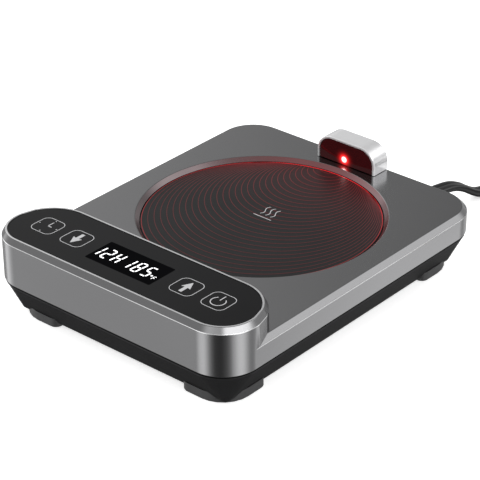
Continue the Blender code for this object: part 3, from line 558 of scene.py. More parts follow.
def coil_points():
    """Clockwise turns, flat on each other; each steps up in its last quarter."""
    count = round(COIL_TURNS * PER_TURN)
    line = []
    for k in range(count + 1):
        turns = COIL_TURNS * k / count
        angle = math.radians(COIL_START - 360.0 * turns)
        layer = math.floor(turns) + smoothstep((turns - math.floor(turns) - 0.75) / 0.25)
        line.append((COIL_C[0] + COIL_R * math.cos(angle), COIL_C[1] + COIL_R * math.sin(angle),
                     LAYER_Z + LAYER_PITCH * layer))
    return line


def cord_section():
    """Flat twin lead: two soft lobes with a shallow groove between them on each face."""
    half_w, half_t, groove, edge = CORD_W / 2, CORD_T / 2, 0.00042, 0.0017
    quarter = [(0.0, half_t - groove), (0.0005, half_t - groove * 0.62), (0.0011, half_t - groove * 0.1),
               (0.0016, half_t)]
    quarter += arc(half_w - edge, half_t - edge, edge, 90, 0, 6)
    upper = quarter + [(x, -y) for x, y in reversed(quarter)]
    return upper + [(-x, -y) for x, y in upper[1:-1]]


def build_cord():
    """Out of the sleeve and down to the table, round the coil, and off to the plug."""
    coil = coil_points()
    path = smooth_route(CORD_ROUTE + coil[:1], 4)[:-1]
    path += [Vector(p) for p in coil] + smooth_route(coil[-1:] + TAIL_ROUTE, 3)[1:]
    cord = sweep("mains_cord", path, cord_section())
    finish_piece(cord, CORD, "cord_pvc", "power_cord", "cord_coil", "power_cord_tail",
                 angle=50, weighted=False)
    return cord, path


cord, cord_path = build_cord()


def relief_ring(along, half_w, half_h):
    """A rounded oblong across the lead, at a distance along its way out."""
    cos, sin = math.cos(EXIT_TURN), math.sin(EXIT_TURN)
    return [(EXIT[0] + along * sin - x * cos, EXIT[1] + along * cos + x * sin, EXIT[2] + z)
            for x, z in rectangle(half_w, half_h, min(half_w, half_h) * 0.96, steps=6)]


def strain_relief():
    """Collar on the wall, then a ribbed taper down to the lead; (along, half width, half height) sections."""
    sections = [(-0.0065, 0.0074, 0.0052), (-0.0061, 0.0078, 0.0056), (-0.0049, 0.0078, 0.0056),
                (-0.0045, 0.0075, 0.0053), (-0.0044, RELIEF_HALF_W, RELIEF_HALF_H),
                (0.0078, RELIEF_HALF_W, RELIEF_HALF_H),
                (0.0079, 0.00665, 0.00465), (0.0082, 0.00695, 0.00495), (0.0096, 0.00695, 0.00495),
                (0.0100, 0.00670, 0.00470), (0.0104, 0.00600, 0.00400)]
    ribs, first, last = 6, 0.0118, RELIEF_OUT
    pitch = (last - first) / ribs
    for k in range(ribs):
        start = first + pitch * k
        share = (start - first) / (last - first)
        half_w, half_h = 0.0061 - 0.0010 * share, 0.0040 - 0.0011 * share
        for step, dip in ((0.0, 0.0), (0.42, 0.0), (0.55, 0.00045), (0.85, 0.00045)):
            sections.append((start + pitch * step, half_w - dip, half_h - dip))
    sections += [(last - 0.0004, 0.0051, 0.0029), (last, 0.0048, 0.0026)]
    piece = stack("strain_relief_sleeve", [relief_ring(*s) for s in sections])
    return finish_piece(piece, CORD, "foot_rubber", "strain_relief", angle=60, weighted=False)


def coil_tie():
    """A soft strap closed round the turns, with its outer edges eased."""
    low, high = (Vector(v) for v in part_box("coil_tie"))
    mid, half = (low + high) / 2, (high - low) / 2
    thick, ease = 0.0009, 0.00025
    outer = rectangle(half.x, half.z, 0.0014, steps=5)
    inner = rectangle(half.x - thick, half.z - thick, 0.0006, steps=5)
    near, far, eased = ease - half.y, half.y - ease, (half.x - ease) / half.x
    rows = []
    for points, y, scale in ((inner, near, 1.0), (inner, far, 1.0), (outer, half.y, eased), (outer, far, 1.0),
                             (outer, near, 1.0), (outer, -half.y, eased), (inner, near, 1.0)):
        rows.append([(mid.x + x * scale, mid.y + y, mid.z + z * scale) for x, z in points])
    solid = Solid()
    solid.strips(rows)
    return finish_piece(solid.done("coil_strap"), RUBBER, "foot_rubber", "coil_tie", angle=50, weighted=False)


def plug_body():
    """Moulded two-pin plug with finger grooves, lying flat; (along, half width, half height) sections."""
    x, y, z = PLUG_AT
    full, groove = (0.0122, 0.0065), (0.0117, 0.0062)
    sections = [(0.0, 0.0052, 0.0032), (0.0008, 0.0056, 0.0036), (0.0060, 0.0062, 0.0041),
                (0.0115, 0.0071, 0.0047), (0.0140, 0.0088, 0.0054), (0.0160, 0.0110, 0.0060)]
    for k in range(5):
        start = 0.0180 + 0.0030 * k
        sections += [(start, *full), (start + 0.0014, *full), (start + 0.0019, *groove),
                     (start + 0.0025, *groove)]
    sections += [(0.0335, *full), (0.0385, *full), (0.0392, 0.0119, 0.0062), (0.0395, 0.0112, 0.0057)]
    rings = [[(x + px, y - along, z + pz) for px, pz in rectangle(half_w, half_h, half_h * 0.72, steps=6)]
             for along, half_w, half_h in sections]
    body = stack("plug_moulding", rings)
    return finish_piece(body, CORD, "cord_pvc", "plug_body", angle=50, weighted=False)


def plug_blade(name):
    """A flat brass blade with a hole, rounded at its free end."""
    low, high = (Vector(v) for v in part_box(name))
    mid, half = (low + high) / 2, (high - low) / 2
    tip_r, back_r, ease = 0.0020, 0.0004, 0.0002
    hole_r, hole_back = 0.0015, 0.0037
    outline = rounded([(-half.y, -half.z), (half.y, -half.z), (half.y, half.z), (-half.y, half.z)],
                      [tip_r, back_r, back_r, tip_r], 6)
    sides = []
    for pull, x in ((ease, low.x), (0.0, low.x + ease), (0.0, high.x - ease), (ease, high.x)):
        share_y, share_z = (half.y - pull) / half.y, (half.z - pull) / half.z
        sides.append([(x, mid.y + y * share_y, mid.z + z * share_z) for y, z in outline])
    hole = disc(low.y + hole_back, mid.z, hole_r, 24)
    bore = [[(x, y, z) for y, z in hole] for x in (low.x, high.x)]
    solid = Solid()
    solid.strips(sides)
    solid.strips(bore)
    solid.fill(sides[0], bore[0])
    solid.fill(sides[-1], bore[1])
    return finish_piece(solid.done(name + "_pin"), BRASS, "contact_brass", name, angle=40)


relief = strain_relief()
tie = coil_tie()
plug_pieces = [plug_body(), plug_blade("plug_blade_left"), plug_blade("plug_blade_right")]


# -------------------- outlines in plan

QUARTER = 16  # segments in a quarter turn of the large corners


class Column:
    """A place on the block's outline: side is +1 or -1, the angle is its outward direction in plan,
    and seam is the height where it meets the deck."""

    def __init__(self, side, angle, seam=None):
        self.side, self.angle, self.seam = side, math.radians(angle), seam
        self.radius = BLOCK_FRONT_R if math.sin(self.angle) < -1e-9 else BLOCK_BACK_R

    def at(self, inset, z):
        reach = self.radius - inset
        return (self.side * (HALF_W - self.radius) + reach * math.cos(self.angle),
                BLOCK_SIDE_Y + reach * math.sin(self.angle), z)


def block_ring(inset, z):
    angles = [90.0 * i / QUARTER for i in range(-QUARTER, QUARTER + 1)]
    return [Column(1, a).at(inset, z) for a in angles] + [Column(-1, 180 + a).at(inset, z) for a in angles]


def tray_ring(inset, sharper, z):
    """The whole housing in plan; sharper takes that much off its corners' radii."""
    front = max(0.0005, BLOCK_FRONT_R - inset - sharper)
    back = max(0.0005, DECK_R - inset - sharper)
    front_x, front_y = HALF_W - inset - front, FRONT_Y + inset + front
    back_x, back_y = HALF_W - inset - back, BACK_Y - inset - back
    points = []
    for x, y, radius, start in ((front_x, front_y, front, -90), (back_x, back_y, back, 0),
                                (-back_x, back_y, back, 90), (-front_x, front_y, front, 180)):
        points += arc(x, y, radius, start, start + 90, QUARTER)
    return at_height(points, z)


# -------------------- housing

def top_shell():
    """Deck and raised control block as one pressed metal shell, hollow below."""
    wall_foot, deck_start = (0, SHELL_Z + 0.002), (0.006, DECK_Z)
    lip = fillet([(SHELL_WALL, SHELL_Z), (0, SHELL_Z), wall_foot], [0.0006])[:-1]
    deck_edge = fillet([wall_foot, (0, DECK_Z - DECK_CHAMFER), (DECK_CHAMFER, DECK_Z), deck_start],
                       [0.0008, 0.0008])[1:-1]
    crown = fillet([deck_edge[0], (0, BLOCK_Z - BLOCK_DOWN), (BLOCK_IN, BLOCK_Z), (POCKET_INSET, BLOCK_Z),
                    (POCKET_INSET, LEDGE_Z)], [0.0008, 0.0005, 0.00015])

    # where the deck's edge meets the block's round end, free of the rounding errors that acos can't take
    deck_edge = [(max(0.0, round(inset, 9)), z) for inset, z in deck_edge]
    seams = [(math.degrees(math.acos(1 - inset / BLOCK_BACK_R)), z) for inset, z in deck_edge]
    steps = [s for s in (90.0 * i / QUARTER for i in range(1, QUARTER + 1)) if s > seams[-1][0] + 1.5]
    rear = seams + [(s, DECK_Z) for s in steps]
    front_right = [Column(1, -90 + 90 * i / QUARTER) for i in range(QUARTER)]
    back_right = [Column(1, angle, z) for angle, z in rear]
    back_left = [Column(-1, 180 - angle, z) for angle, z in reversed(rear)]
    front_left = [Column(-1, 180 + 90 * i / QUARTER) for i in range(1, QUARTER + 1)]

    solid = Solid()
    # front half of the block's wall, from the bottom lip up to the crown
    front = [back_left[-1]] + front_left + front_right + [back_right[0]]
    solid.strips([[c.at(inset, z) for c in front] for inset, z in lip + crown], closed=False)
    # back half, from the deck up
    back = back_right + back_left
    rows = [[c.at(0, c.seam) for c in back]] + [[c.at(inset, z) for c in back] for inset, z in crown[1:]]
    solid.strips(rows, closed=False)

    # the deck's side walls and chamfer
    def deck_row(inset, z, angle):
        start = Column(1, angle).at(0 if angle else inset, z)
        x, y = HALF_W - DECK_R, BACK_Y - DECK_R
        path = arc(x, y, DECK_R - inset, 0, 90, QUARTER) + arc(-x, y, DECK_R - inset, 90, 180, QUARTER)
        return [start] + at_height(path, z) + [(-start[0], start[1], z)]

    deck_rows = [deck_row(inset, z, 0.0) for inset, z in lip]
    deck_rows += [deck_row(inset, z, angle) for (inset, z), (angle, _) in zip(deck_edge, seams)]
    solid.strips(deck_rows, closed=False)

    # recess for the plate
    bowl = fillet([(RECESS_R + 0.004, DECK_Z), (RECESS_R, DECK_Z), (RECESS_FLOOR_R, PLATE_Z),
                   (RECESS_FLOOR_R, SEAT_Z), (SEAT_HOLE_R, SEAT_Z)], [0.0007, 0.0, 0.0])[1:]
    solid.strips([plate_circle(r, z) for r, z in bowl])

    # deck top between the chamfer, the block and the recess
    seam_line = [c.at(0, c.seam) for c in reversed(back) if abs(c.seam - DECK_Z) < 1e-7]
    solid.fill(deck_rows[-1] + seam_line[1:-1], plate_circle(*bowl[0]))

    # inner skin
    ceiling = DECK_Z - SHELL_WALL
    foot_line = [c.at(SHELL_WALL, SHELL_Z) for c in front] + deck_row(SHELL_WALL, SHELL_Z, 0.0)[1:-1]
    high_line = [(x, y, ceiling) for x, y, _ in foot_line]
    solid.strips([foot_line, high_line])
    well_r, well_z = RECESS_FLOOR_R + SEAT_T, SEAT_Z - SEAT_T
    opening = block_ring(BLOCK_WALL, ceiling)
    solid.fill(high_line, plate_circle(well_r, ceiling), opening)
    solid.strips([plate_circle(well_r, ceiling), plate_circle(well_r, well_z),
                  plate_circle(SEAT_HOLE_R, well_z), plate_circle(SEAT_HOLE_R, SEAT_Z)])
    under = LEDGE_Z - LEDGE_T
    solid.strips([opening, block_ring(BLOCK_WALL, under)])
    window = rectangle(*WINDOW_HALF, WINDOW_R, (0, BLOCK_Y))
    window_low, window_high = at_height(window, under), at_height(window, LEDGE_Z)
    solid.fill(block_ring(BLOCK_WALL, under), window_low)
    solid.strips([window_low, window_high])
    solid.fill([c.at(POCKET_INSET, LEDGE_Z) for c in front + back[1:-1]], window_high)

    paint_edge_highlights_and_wall_glow(finish_piece(solid.done("housing_shell"), SHELL, "shell_metal", "top_housing"))


def paint_edge_highlights_and_wall_glow(piece):
    """Painted highlights, as a lighter metal on the rim round the glass and each chamfer's lower edge, and
    painted red glow on the recess wall.
    """
    piece.data.materials.append(EDGE)
    piece.data.materials.append(RECESS_WALL_PAINTED_GLOW)
    chamfer_lines = (BLOCK_Z - BLOCK_DOWN, DECK_Z - DECK_CHAMFER)
    for face in piece.data.polygons:
        x, y, z = face.center
        up = face.normal.z
        # the flat rim round the glass and the chamfers' lower edges take the lighter metal, a painted
        # highlight
        rim = z > BLOCK_Z - 0.0002 and up > 0.95
        edge = 0.02 < up < 0.5 and any(abs(z - line) < 0.0004 for line in chamfer_lines)
        if rim or edge:
            face.material_index = 1  # EDGE
        # faces of the recess wall take the metal with painted red glow
        reach = math.hypot(x - PLATE_C[0], y - PLATE_C[1])
        if PLATE_Z - 0.001 < z < DECK_Z - 0.0001 and reach < RECESS_R + 0.0006:
            face.material_index = 2  # RECESS_WALL_PAINTED_GLOW


def foot_outline(side_x, side_y, grow):
    """A corner foot in plan: a square with its inner corner cut off aslant."""
    x, y = HALF_W - FOOT_INSET + grow, BACK_Y - FOOT_INSET + grow
    leg = FOOT_LEG + 2 * grow
    points = [(x, y), (x - leg, y), (x - leg, y - FOOT_LEG_W), (x - FOOT_LEG_W, y - leg), (x, y - leg)]
    outline = [(side_x * px, side_y * py)
               for px, py in rounded(points, [FOOT_R + grow, 0.004, 0.003, 0.003, 0.004], 6)]
    return outline if side_x * side_y > 0 else outline[::-1]


def base_tray():
    """Black moulded tray that tapers in towards the table; its tongue goes up inside the shell."""
    tongue_z = BASE_TOP_Z + TONGUE_H
    outside = fillet([(BASE_FOOT_INSET + 0.004, BASE_Z), (BASE_FOOT_INSET, BASE_Z),
                      (BASE_LIP_INSET + 0.0005, BASE_LIP_Z - 0.0006), (BASE_LIP_INSET, BASE_LIP_Z),
                      (BASE_LIP_INSET, BASE_TOP_Z), (TONGUE_INSET, BASE_TOP_Z), (TONGUE_INSET, tongue_z)],
                     [0.0012, 0.0002, 0.0, 0.00025, 0.0])
    inside = [(TONGUE_INSET + TONGUE_T, tongue_z), (TONGUE_INSET + TONGUE_T, BASE_LIP_Z - 0.001),
              (BASE_FOOT_INSET + 0.0014, BASE_FLOOR_Z)]

    def sharper(z):
        return BASE_SHARPER * max(0.0, min(1.0, (BASE_LIP_Z - z) / (BASE_LIP_Z - BASE_Z)))

    pan = stack("base_tray", [tray_ring(inset, sharper(z), z) for inset, z in outside + inside])
    cutters = [prism("pocket", foot_outline(sx, sy, GAP), BASE_Z - 0.004, FOOT_TOP_Z + GAP)
               for sy in (-1, 1) for sx in (-1, 1)]
    cutters += [prism("head", disc(*at, SCREW_HEAD_R, 32), BASE_Z - 0.002, BASE_FLOOR_Z + 0.001)
                for at in SCREW_AT]
    cutters += [prism("vent", rectangle(*VENT_HALF, VENT_R, (0, y), 5), BASE_Z - 0.002, BASE_FLOOR_Z + 0.002)
                for y in VENT_Y]
    cutters.append(stack("cord_hole", [relief_ring(along, RELIEF_HALF_W + GAP, RELIEF_HALF_H + GAP)
                                       for along in (-0.020, 0.020)]))
    finish_piece(cut(pan, *cutters), BASE, "base_plastic", "base_pan")


def feet():
    names = {(-1, -1): "foot_front_left", (1, -1): "foot_front_right",
             (-1, 1): "foot_back_left", (1, 1): "foot_back_right"}
    for (sx, sy), name in names.items():
        rings = [at_height(foot_outline(sx, sy, -inset), z) for inset, z in quarter_round(0.0009, 4)]
        rings.append(at_height(foot_outline(sx, sy, 0.0), FOOT_TOP_Z))
        finish_piece(stack(name + "_pad", rings), RUBBER, "foot_rubber", name, angle=40)


top_shell()
base_tray()
feet()


# -------------------- control panel

def control_panel():
    edge = [(0.0, PANEL_LOW_Z)]
    edge += [(inset, PANEL_TOP_Z - depth) for inset, depth in reversed(quarter_round(0.0003, 3))]
    piece = stack("panel_glass_sheet", [block_ring(POCKET_INSET + GAP + inset, z) for inset, z in edge])
    finish_piece(piece, GLASS, "panel_glass", "control_panel", angle=40)


class Print:
    """Thin raised marks gathered in one mesh, between two heights above the surface they are printed on."""

    def __init__(self, surface, low, high):
        self.solid, self.low, self.high = Solid(), surface + low, surface + high

    def shape(self, outline):
        self.solid.tower([at_height(outline, self.low), at_height(outline, self.high)])

    def band(self, outer, inner, closed=True):
        rows = [at_height(inner, self.low), at_height(outer, self.low), at_height(outer, self.high),
                at_height(inner, self.high)]
        self.solid.strips(rows + rows[:1], closed)
        if not closed:
            for i in (0, -1):
                self.solid.cap([row[i] for row in rows])

    def curve(self, x, y, radius, width, start, end, steps):
        """An open arc of the given width, in degrees."""
        self.band(arc(x, y, radius + width / 2, start, end, steps),
                  arc(x, y, radius - width / 2, start, end, steps), closed=False)

    def hoop(self, x, y, radius, width, sides):
        self.band(disc(x, y, radius + width / 2, sides), disc(x, y, radius - width / 2, sides))

    def bar(self, a, b, width):
        """A line with rounded ends."""
        a, b = Vector(a), Vector(b)
        along = (b - a).normalized() * width / 2
        side = Vector((-along.y, along.x))
        points = [a - side, b - side]
        points += [b - side * 0.5 + along * 0.87, b + side * 0.5 + along * 0.87, b + side, a + side]
        points += [a + side * 0.5 - along * 0.87, a - side * 0.5 - along * 0.87]
        self.shape([tuple(p) for p in points])

    def done(self, name, look, slot):
        finish_piece(self.solid.done(name, weld=1e-8), look, slot, angle=40, weighted=False)


def key_marks():
    marks = Print(PANEL_TOP_Z, -0.00002, 0.00005)
    half, radius, line, stroke = 0.00755, 0.0040, 0.00036, 0.00055
    for x in KEY_X:
        marks.band(rectangle(half, half, radius, (x, KEY_Y), 10),
                   rectangle(half - line, half - line, radius - line, (x, KEY_Y), 10))
    timer_x, down_x, up_x, power_x = KEY_X

    # a clock face: four dots and two hands
    dial_r, dot_r, long_hand, short_hand = 0.0061, 0.00034, 0.0043, 0.0024
    for dx, dy in ((0.0, dial_r), (dial_r, 0.0), (0.0, -dial_r), (-dial_r, 0.0)):
        marks.shape(disc(timer_x + dx, KEY_Y + dy, dot_r, 16))
    marks.bar((timer_x, KEY_Y), (timer_x, KEY_Y + long_hand), stroke)
    marks.bar((timer_x, KEY_Y), (timer_x + short_hand, KEY_Y), stroke)

    # arrows down and up
    shaft, head, reach, notch, barb = 0.00105, 0.0031, 0.0053, -0.0002, 0.0007
    points = [(-shaft, -reach), (shaft, -reach), (shaft, notch), (head, notch - barb), (0.0, reach),
              (-head, notch - barb), (-shaft, notch)]
    for x, way in ((down_x, -1), (up_x, 1)):
        marks.shape(rounded([(x + px * way, KEY_Y + py * way) for px, py in points], [0.0002] * 7, 2))

    # the power sign: an open ring and a bar
    ring_r, drop, opening, bar_low, bar_high = 0.0040, 0.0004, 38, 0.0010, 0.0054
    marks.curve(power_x, KEY_Y - drop, ring_r, stroke, 90 + opening, 450 - opening, 40)
    marks.bar((power_x, KEY_Y + bar_low), (power_x, KEY_Y + bar_high), stroke)
    marks.done("key_marks", PRINT, "panel_glass")


SEGMENTS = {"1": "bc", "2": "abged", "5": "afgcd", "8": "abcdefg", "H": "fegbc", "F": "afge"}


def draw_digit(marks, letter, centre, half_w, half_h, width, slant):
    """One seven-segment sign; its segments have pointed ends and small gaps between them."""
    lines = {"a": ((-half_w, half_h), (half_w, half_h)), "b": ((half_w, half_h), (half_w, 0)),
             "c": ((half_w, 0), (half_w, -half_h)), "d": ((-half_w, -half_h), (half_w, -half_h)),
             "e": ((-half_w, 0), (-half_w, -half_h)), "f": ((-half_w, half_h), (-half_w, 0)),
             "g": ((-half_w, 0), (half_w, 0))}
    for key in SEGMENTS[letter]:
        a, b = (Vector(p) for p in lines[key])
        along = (b - a).normalized()
        gap, tip = along * width * 0.30, along * width * 0.42
        a, b = a + gap, b - gap
        side = Vector((-along.y, along.x)) * width / 2
        points = [a, a + tip - side, b - tip - side, b, b - tip + side, a + tip + side]
        marks.shape([(centre[0] + p.x + p.y * slant, centre[1] + p.y) for p in points])


def display():
    """A dark window with lit figures: a number of hours and a temperature."""
    half_x, half_y, radius, middle = 0.0226, 0.0101, 0.0008, (-0.0015, -0.0838)
    window = Print(PANEL_TOP_Z, -0.00002, 0.00003)
    window.shape(rectangle(half_x, half_y, radius, middle, 4))
    window.done("display_window", WINDOW, "panel_glass")

    marks = Print(PANEL_TOP_Z, 0.00002, 0.00008)
    large, small = (0.00180, 0.00465, 0.00086), (0.00070, 0.00150, 0.00040)  # half width and height, line
    slant, row_y, degree_sign = 0.10, -0.0842, (0.0160, -0.0862)
    for letter, x in zip("12H185", (-0.0230, -0.0162, -0.0092, -0.0016, 0.0053, 0.0122)):
        draw_digit(marks, letter, (x, row_y), *large, slant)
    draw_digit(marks, "F", (0.0184, -0.0874), *small, slant)
    marks.hoop(*degree_sign, 0.00046, 0.00032, 16)
    marks.done("display_digits", DIGITS, "panel_glass")


control_panel()
key_marks()
display()


# -------------------- hot plate

def heating_plate():
    """A thin disc with a short clamping stud below."""
    low, stud_r, stud_low = PLATE_Z - PLATE_T, 0.0025, 0.0215
    outer, inner = 0.05, 0.02  # extra rings on the flats, which shade better in shorter faces
    edge = fillet([(outer, PLATE_Z), (PLATE_R, PLATE_Z), (PLATE_R, low), (outer, low)], [0.0006, 0.0002])
    profile = [(inner, PLATE_Z), *edge, (stud_r, low), (stud_r, stud_low)]
    piece = stack("plate_disc", [plate_circle(radius, z) for radius, z in profile])
    # the plate's material carries the painted red glow near the sensor
    finish_piece(piece, PLATE, "plate_coating", "heating_plate")


def plate_rings():
    """Fine red arcs on the plate that paint the sensor's light, each a smaller copy of the plate's edge drawn
    in towards the sensor, glowing with painted red light that grows towards it.
    """
    source = Vector(RING_SOURCE)
    away = Vector(PLATE_C) - source
    axis = math.degrees(math.atan2(away.y, away.x))
    limit, count, first, line, step = PLATE_R - 0.0007, 33, 4, 0.00036, 0.0016
    marks = Print(PLATE_Z, -0.00002, 0.00005)
    for i in range(first, count):
        share = i / count
        radius, apart = share * limit, (1 - share) * away.length
        cos_half = (apart ** 2 + radius ** 2 - limit ** 2) / (2 * apart * radius)
        if cos_half >= 0.995:
            continue
        half = math.degrees(math.acos(max(-1.0, cos_half)))
        centre = source + away * share
        steps = max(8, round(math.radians(2 * half) * radius / step))
        marks.curve(*centre, radius, line, axis - half, axis + half, steps)
    marks.done("plate_rings", SENSOR_LIGHT_RINGS, "plate_coating")
    # a painted red glow line round the plate's edge
    rim = Print(PLATE_Z, -0.00002, 0.00005)
    rim.hoop(*PLATE_C, limit, 0.00042, 160)
    rim.done("plate_rim_line", RIM_GLOW_LINE, "plate_coating")


def plate_symbol():
    """A plain hot-surface sign: three wavy lines over a bar."""
    marks = Print(PLATE_Z, 0.00002, 0.00008)
    x, y = 0.0, 0.0250
    wave_low, bar_low, bar_half = y - 0.0034, y - 0.0060, 0.0060
    line, spacing, swing, height, steps = 0.0005, 0.0036, 0.0009, 0.0090, 24
    for dx in (-spacing, 0.0, spacing):
        wave = [(x + dx + swing * math.sin(math.tau * k / steps), wave_low + height * k / steps)
                for k in range(steps + 1)]
        marks.band([(px + line / 2, py) for px, py in wave], [(px - line / 2, py) for px, py in wave],
                   closed=False)
    marks.bar((x - bar_half, bar_low), (x + bar_half, bar_low), line)
    marks.done("hot_surface_sign", PRINT, "plate_coating")


heating_plate()
plate_rings()
plate_symbol()


# -------------------- sensor pod

def pod_arch(inset, y, foot=0.0):
    """The pod seen from the front: an arch with a flat bottom."""
    half, top, radius = POD_HALF_W - inset, POD_H - inset, POD_R - inset
    points = arc(-half + radius, top - radius, radius, 180, 90, 10)
    points += arc(half - radius, top - radius, radius, 90, 0, 10)
    return [(x, y, POD_Z + z) for x, z in [(-half, foot)] + points + [(half, foot)]]


def sensor_hood():
    """Arched cover over the sensor, open at the front and below."""
    bend = quarter_round(0.0006, 4)
    back_bend, back_wall, past = 1.6, 0.0015, 0.002
    rows = [pod_arch(pull, POD_FRONT_Y + along) for pull, along in bend]
    rows += [pod_arch(pull * back_bend, POD_BACK_Y - along * back_bend) for pull, along in reversed(bend)]
    hood = stack("sensor_cover", rows)
    hollow = stack("pod_hollow", [pod_arch(POD_WALL, y, -past)
                                  for y in (POD_FRONT_Y - past, POD_BACK_Y - back_wall)])
    finish_piece(cut(hood, hollow), SILVER, "hood_silver", "sensor_hood")


def sensor_lens():
    inset, ease, foot = POD_WALL + GAP, 0.0003, 0.0002
    rows = [pod_arch(pull, y, foot)
            for pull, y in ((inset + ease, LENS_Y), (inset, LENS_Y + ease), (inset, POD_FRONT_Y + 0.0017))]
    # the lens sheet carries the emitter's light as painted red glow
    finish_piece(stack("sensor_lens_sheet", rows), LENS, "lens_red", "sensor_lens", angle=40)


sensor_hood()
sensor_lens()


# -------------------- CAD pieces that stay

KEPT = {
    SEAL: ("plate_seal", "panel_gasket"),
    PLASTIC: ("display_module", "buzzer", "sensor_holder", "ir_receiver", "filter_capacitor", "cord_clamp",
              "thermistor"),
    BOARD: ("control_board", "power_board", "sensor_board"),
    PART: ("relay", "terminal_block", "transformer"),
    MICA: ("mica_disc_upper", "mica_disc_lower"),
    FIBRE: ("insulation_pad",),
    STEEL: ("base_screw_1", "base_screw_2", "base_screw_3", "base_screw_4", "control_board_screw_left",
            "control_board_screw_right", "touch_spring_timer", "touch_spring_down", "touch_spring_up",
            "touch_spring_power", "heating_element", "clamp_dish", "clamp_nut", "thermal_fuse", "board_fuse",
            "sensor_screw_left", "sensor_screw_right"),
    WIRE: ("ribbon_cable", "heater_lead_live", "heater_lead_neutral", "sensor_cable", "mains_tail_live",
           "mains_tail_neutral"),
    CORE: ("ir_emitter",),
}
for look, names in KEPT.items():
    for name in names:
        mesh = NODES[name].data
        if not mesh.materials:
            mesh.materials.append(look)
        for i in range(len(mesh.materials)):
            mesh.materials[i] = look


# -------------------- floor, world and light

def floor():
    look, tree, shader = nodes_of("floor_card")
    shader.inputs["Roughness"].default_value = 0.9
    shader.inputs["Specular IOR Level"].default_value = 0.0
    shader.inputs["Emission Strength"].default_value = 0.6
    tree.links.new(colours(tree, noise(tree, 6.0, 2.0), (0.90, 0.90, 0.90), (0.93, 0.93, 0.93)),
                   shader.inputs["Base Color"])
    solid = Solid()
    solid.cap(at_height(disc(0, 0, 6.0, 96), 0.0))
    mesh = bpy.data.meshes.new("floor")
    solid.bm.to_mesh(mesh)
    solid.bm.free()
    plane = add("floor", mesh)
    plane.data.materials.append(look)
    plane.visible_glossy = False


# What the metal mirrors: cards all round, as (compass angle from +X through +Y, brightness), the low ones
# below the horizon and the high ones above it, with plain bands between, under and over them.
LOW_CARDS = [(-180, 1.05), (-171, 1.6), (-162, 1.5), (-150, 0.95), (-141, 0.75), (-134, 0.60),
             (-131, 0.62), (-125, 1.05), (-117, 1.5), (-106, 1.65), (-97, 1.2), (-90, 0.65), (-82, 0.27),
             (-73, 0.09), (-56, 0.07), (-43, 0.16), (-34, 0.32), (-19, 1.1), (-10, 1.6), (0, 1.8), (9, 1.5),
             (19, 0.95), (29, 0.48), (40, 0.50), (49, 0.80), (55, 1.6), (62, 0.9), (70, 0.5),
             (92, 0.75), (135, 0.42), (163, 0.45)]
HIGH_CARDS = [(-180, 0.9), (-140, 0.45), (-115, 0.45), (-90, 1.2), (-70, 1.0), (-55, 0.8), (-42, 3.0),
              (28, 3.0), (40, 1.5), (60, 1.4), (85, 0.4), (100, 0.22), (122, 0.25), (128, 0.36), (136, 0.56),
              (150, 0.8), (165, 1.6), (180, 0.9)]
CEILING = 0.32
UNDER = 0.10
HORIZON = 0.50
BRIGHTEST = 4.0  # a ramp's colours stop at 1, so they are shares of this


def grey(brightness):
    return (*[brightness / BRIGHTEST] * 3, 1.0)


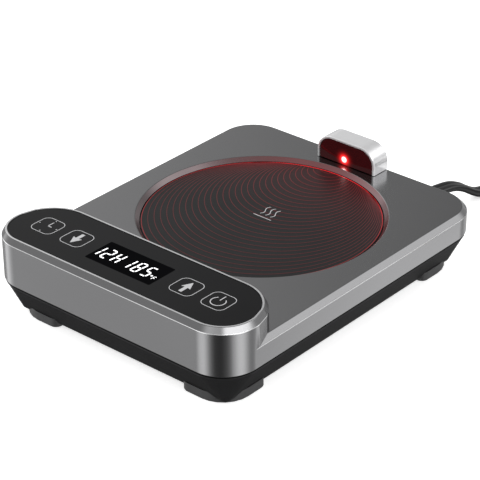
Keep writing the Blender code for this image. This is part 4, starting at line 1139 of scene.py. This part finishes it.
def studio_world():
    """Large soft cards all round for the metal to mirror, and an even light for the rest."""
    world = bpy.data.worlds.new("studio")
    world.use_nodes = True
    SCENE.world = world
    tree = world.node_tree
    tree.nodes.clear()
    parts = tree.nodes.new("ShaderNodeSeparateXYZ")
    tree.links.new(tree.nodes.new("ShaderNodeTexCoord").outputs["Generated"], parts.inputs[0])
    compass = calculate(tree, "ARCTAN2", parts.outputs["Y"], parts.outputs["X"])
    compass = calculate(tree, "MULTIPLY_ADD", compass, 1 / math.tau, 0.5)

    def cards(stops):
        ramp = tree.nodes.new("ShaderNodeValToRGB")
        ramp.color_ramp.interpolation = "EASE"
        elements = ramp.color_ramp.elements
        elements.remove(elements[0])
        for i, (angle, brightness) in enumerate(stops):
            place = (angle + 180) / 360
            stop = elements.new(place) if i else elements[0]
            stop.position = place
            stop.color = grey(brightness)
        tree.links.new(compass, ramp.inputs["Fac"])
        return ramp.outputs["Color"]

    def rise(start, end):
        """0 below a height in the sky and 1 above another, as the sine of the elevation."""
        step = tree.nodes.new("ShaderNodeMapRange")
        step.interpolation_type = "SMOOTHSTEP"
        step.inputs["From Min"].default_value, step.inputs["From Max"].default_value = start, end
        tree.links.new(parts.outputs["Z"], step.inputs["Value"])
        return step.outputs["Result"]

    def background(colour, strength):
        node = tree.nodes.new("ShaderNodeBackground")
        feed(tree, node.inputs["Color"], colour)
        node.inputs["Strength"].default_value = strength
        return node.outputs[0]

    seen = blend(tree, rise(-0.70, -0.56), grey(UNDER), cards(LOW_CARDS))
    seen = blend(tree, rise(-0.12, 0.12), seen, grey(HORIZON))
    seen = blend(tree, rise(0.24, 0.33), seen, cards(HIGH_CARDS))
    seen = blend(tree, rise(0.60, 0.90), seen, grey(CEILING))
    mix = tree.nodes.new("ShaderNodeMixShader")
    shares = (tree.nodes.new("ShaderNodeLightPath").outputs["Is Glossy Ray"],
              background(grey(BRIGHTEST), 1.0), background(seen, BRIGHTEST))
    for into, value in zip(mix.inputs, shares):
        tree.links.new(value, into)
    out = tree.nodes.new("ShaderNodeOutputWorld")
    tree.links.new(mix.outputs[0], out.inputs["Surface"])


def area_light(name, place, size, power):
    """A soft disc aimed at the object; it doesn't show in reflections."""
    data = bpy.data.lights.new(name, "AREA")
    data.shape = "DISK"
    data.size = size
    data.energy = power
    lamp = bpy.data.objects.new(name, data)
    SCENE.collection.objects.link(lamp)
    lamp.location = place
    lamp.rotation_euler = Vector(place).to_track_quat("Z", "Y").to_euler()
    lamp.visible_glossy = False
    lamp.visible_camera = False


floor()
studio_world()
area_light("soft_key", (-0.9, -0.9, 1.6), 1.4, 6.0)
area_light("soft_fill", (1.4, -0.2, 1.0), 1.2, 3.0)
SCENE.view_settings.view_transform = "Standard"
SCENE.view_settings.look = "None"
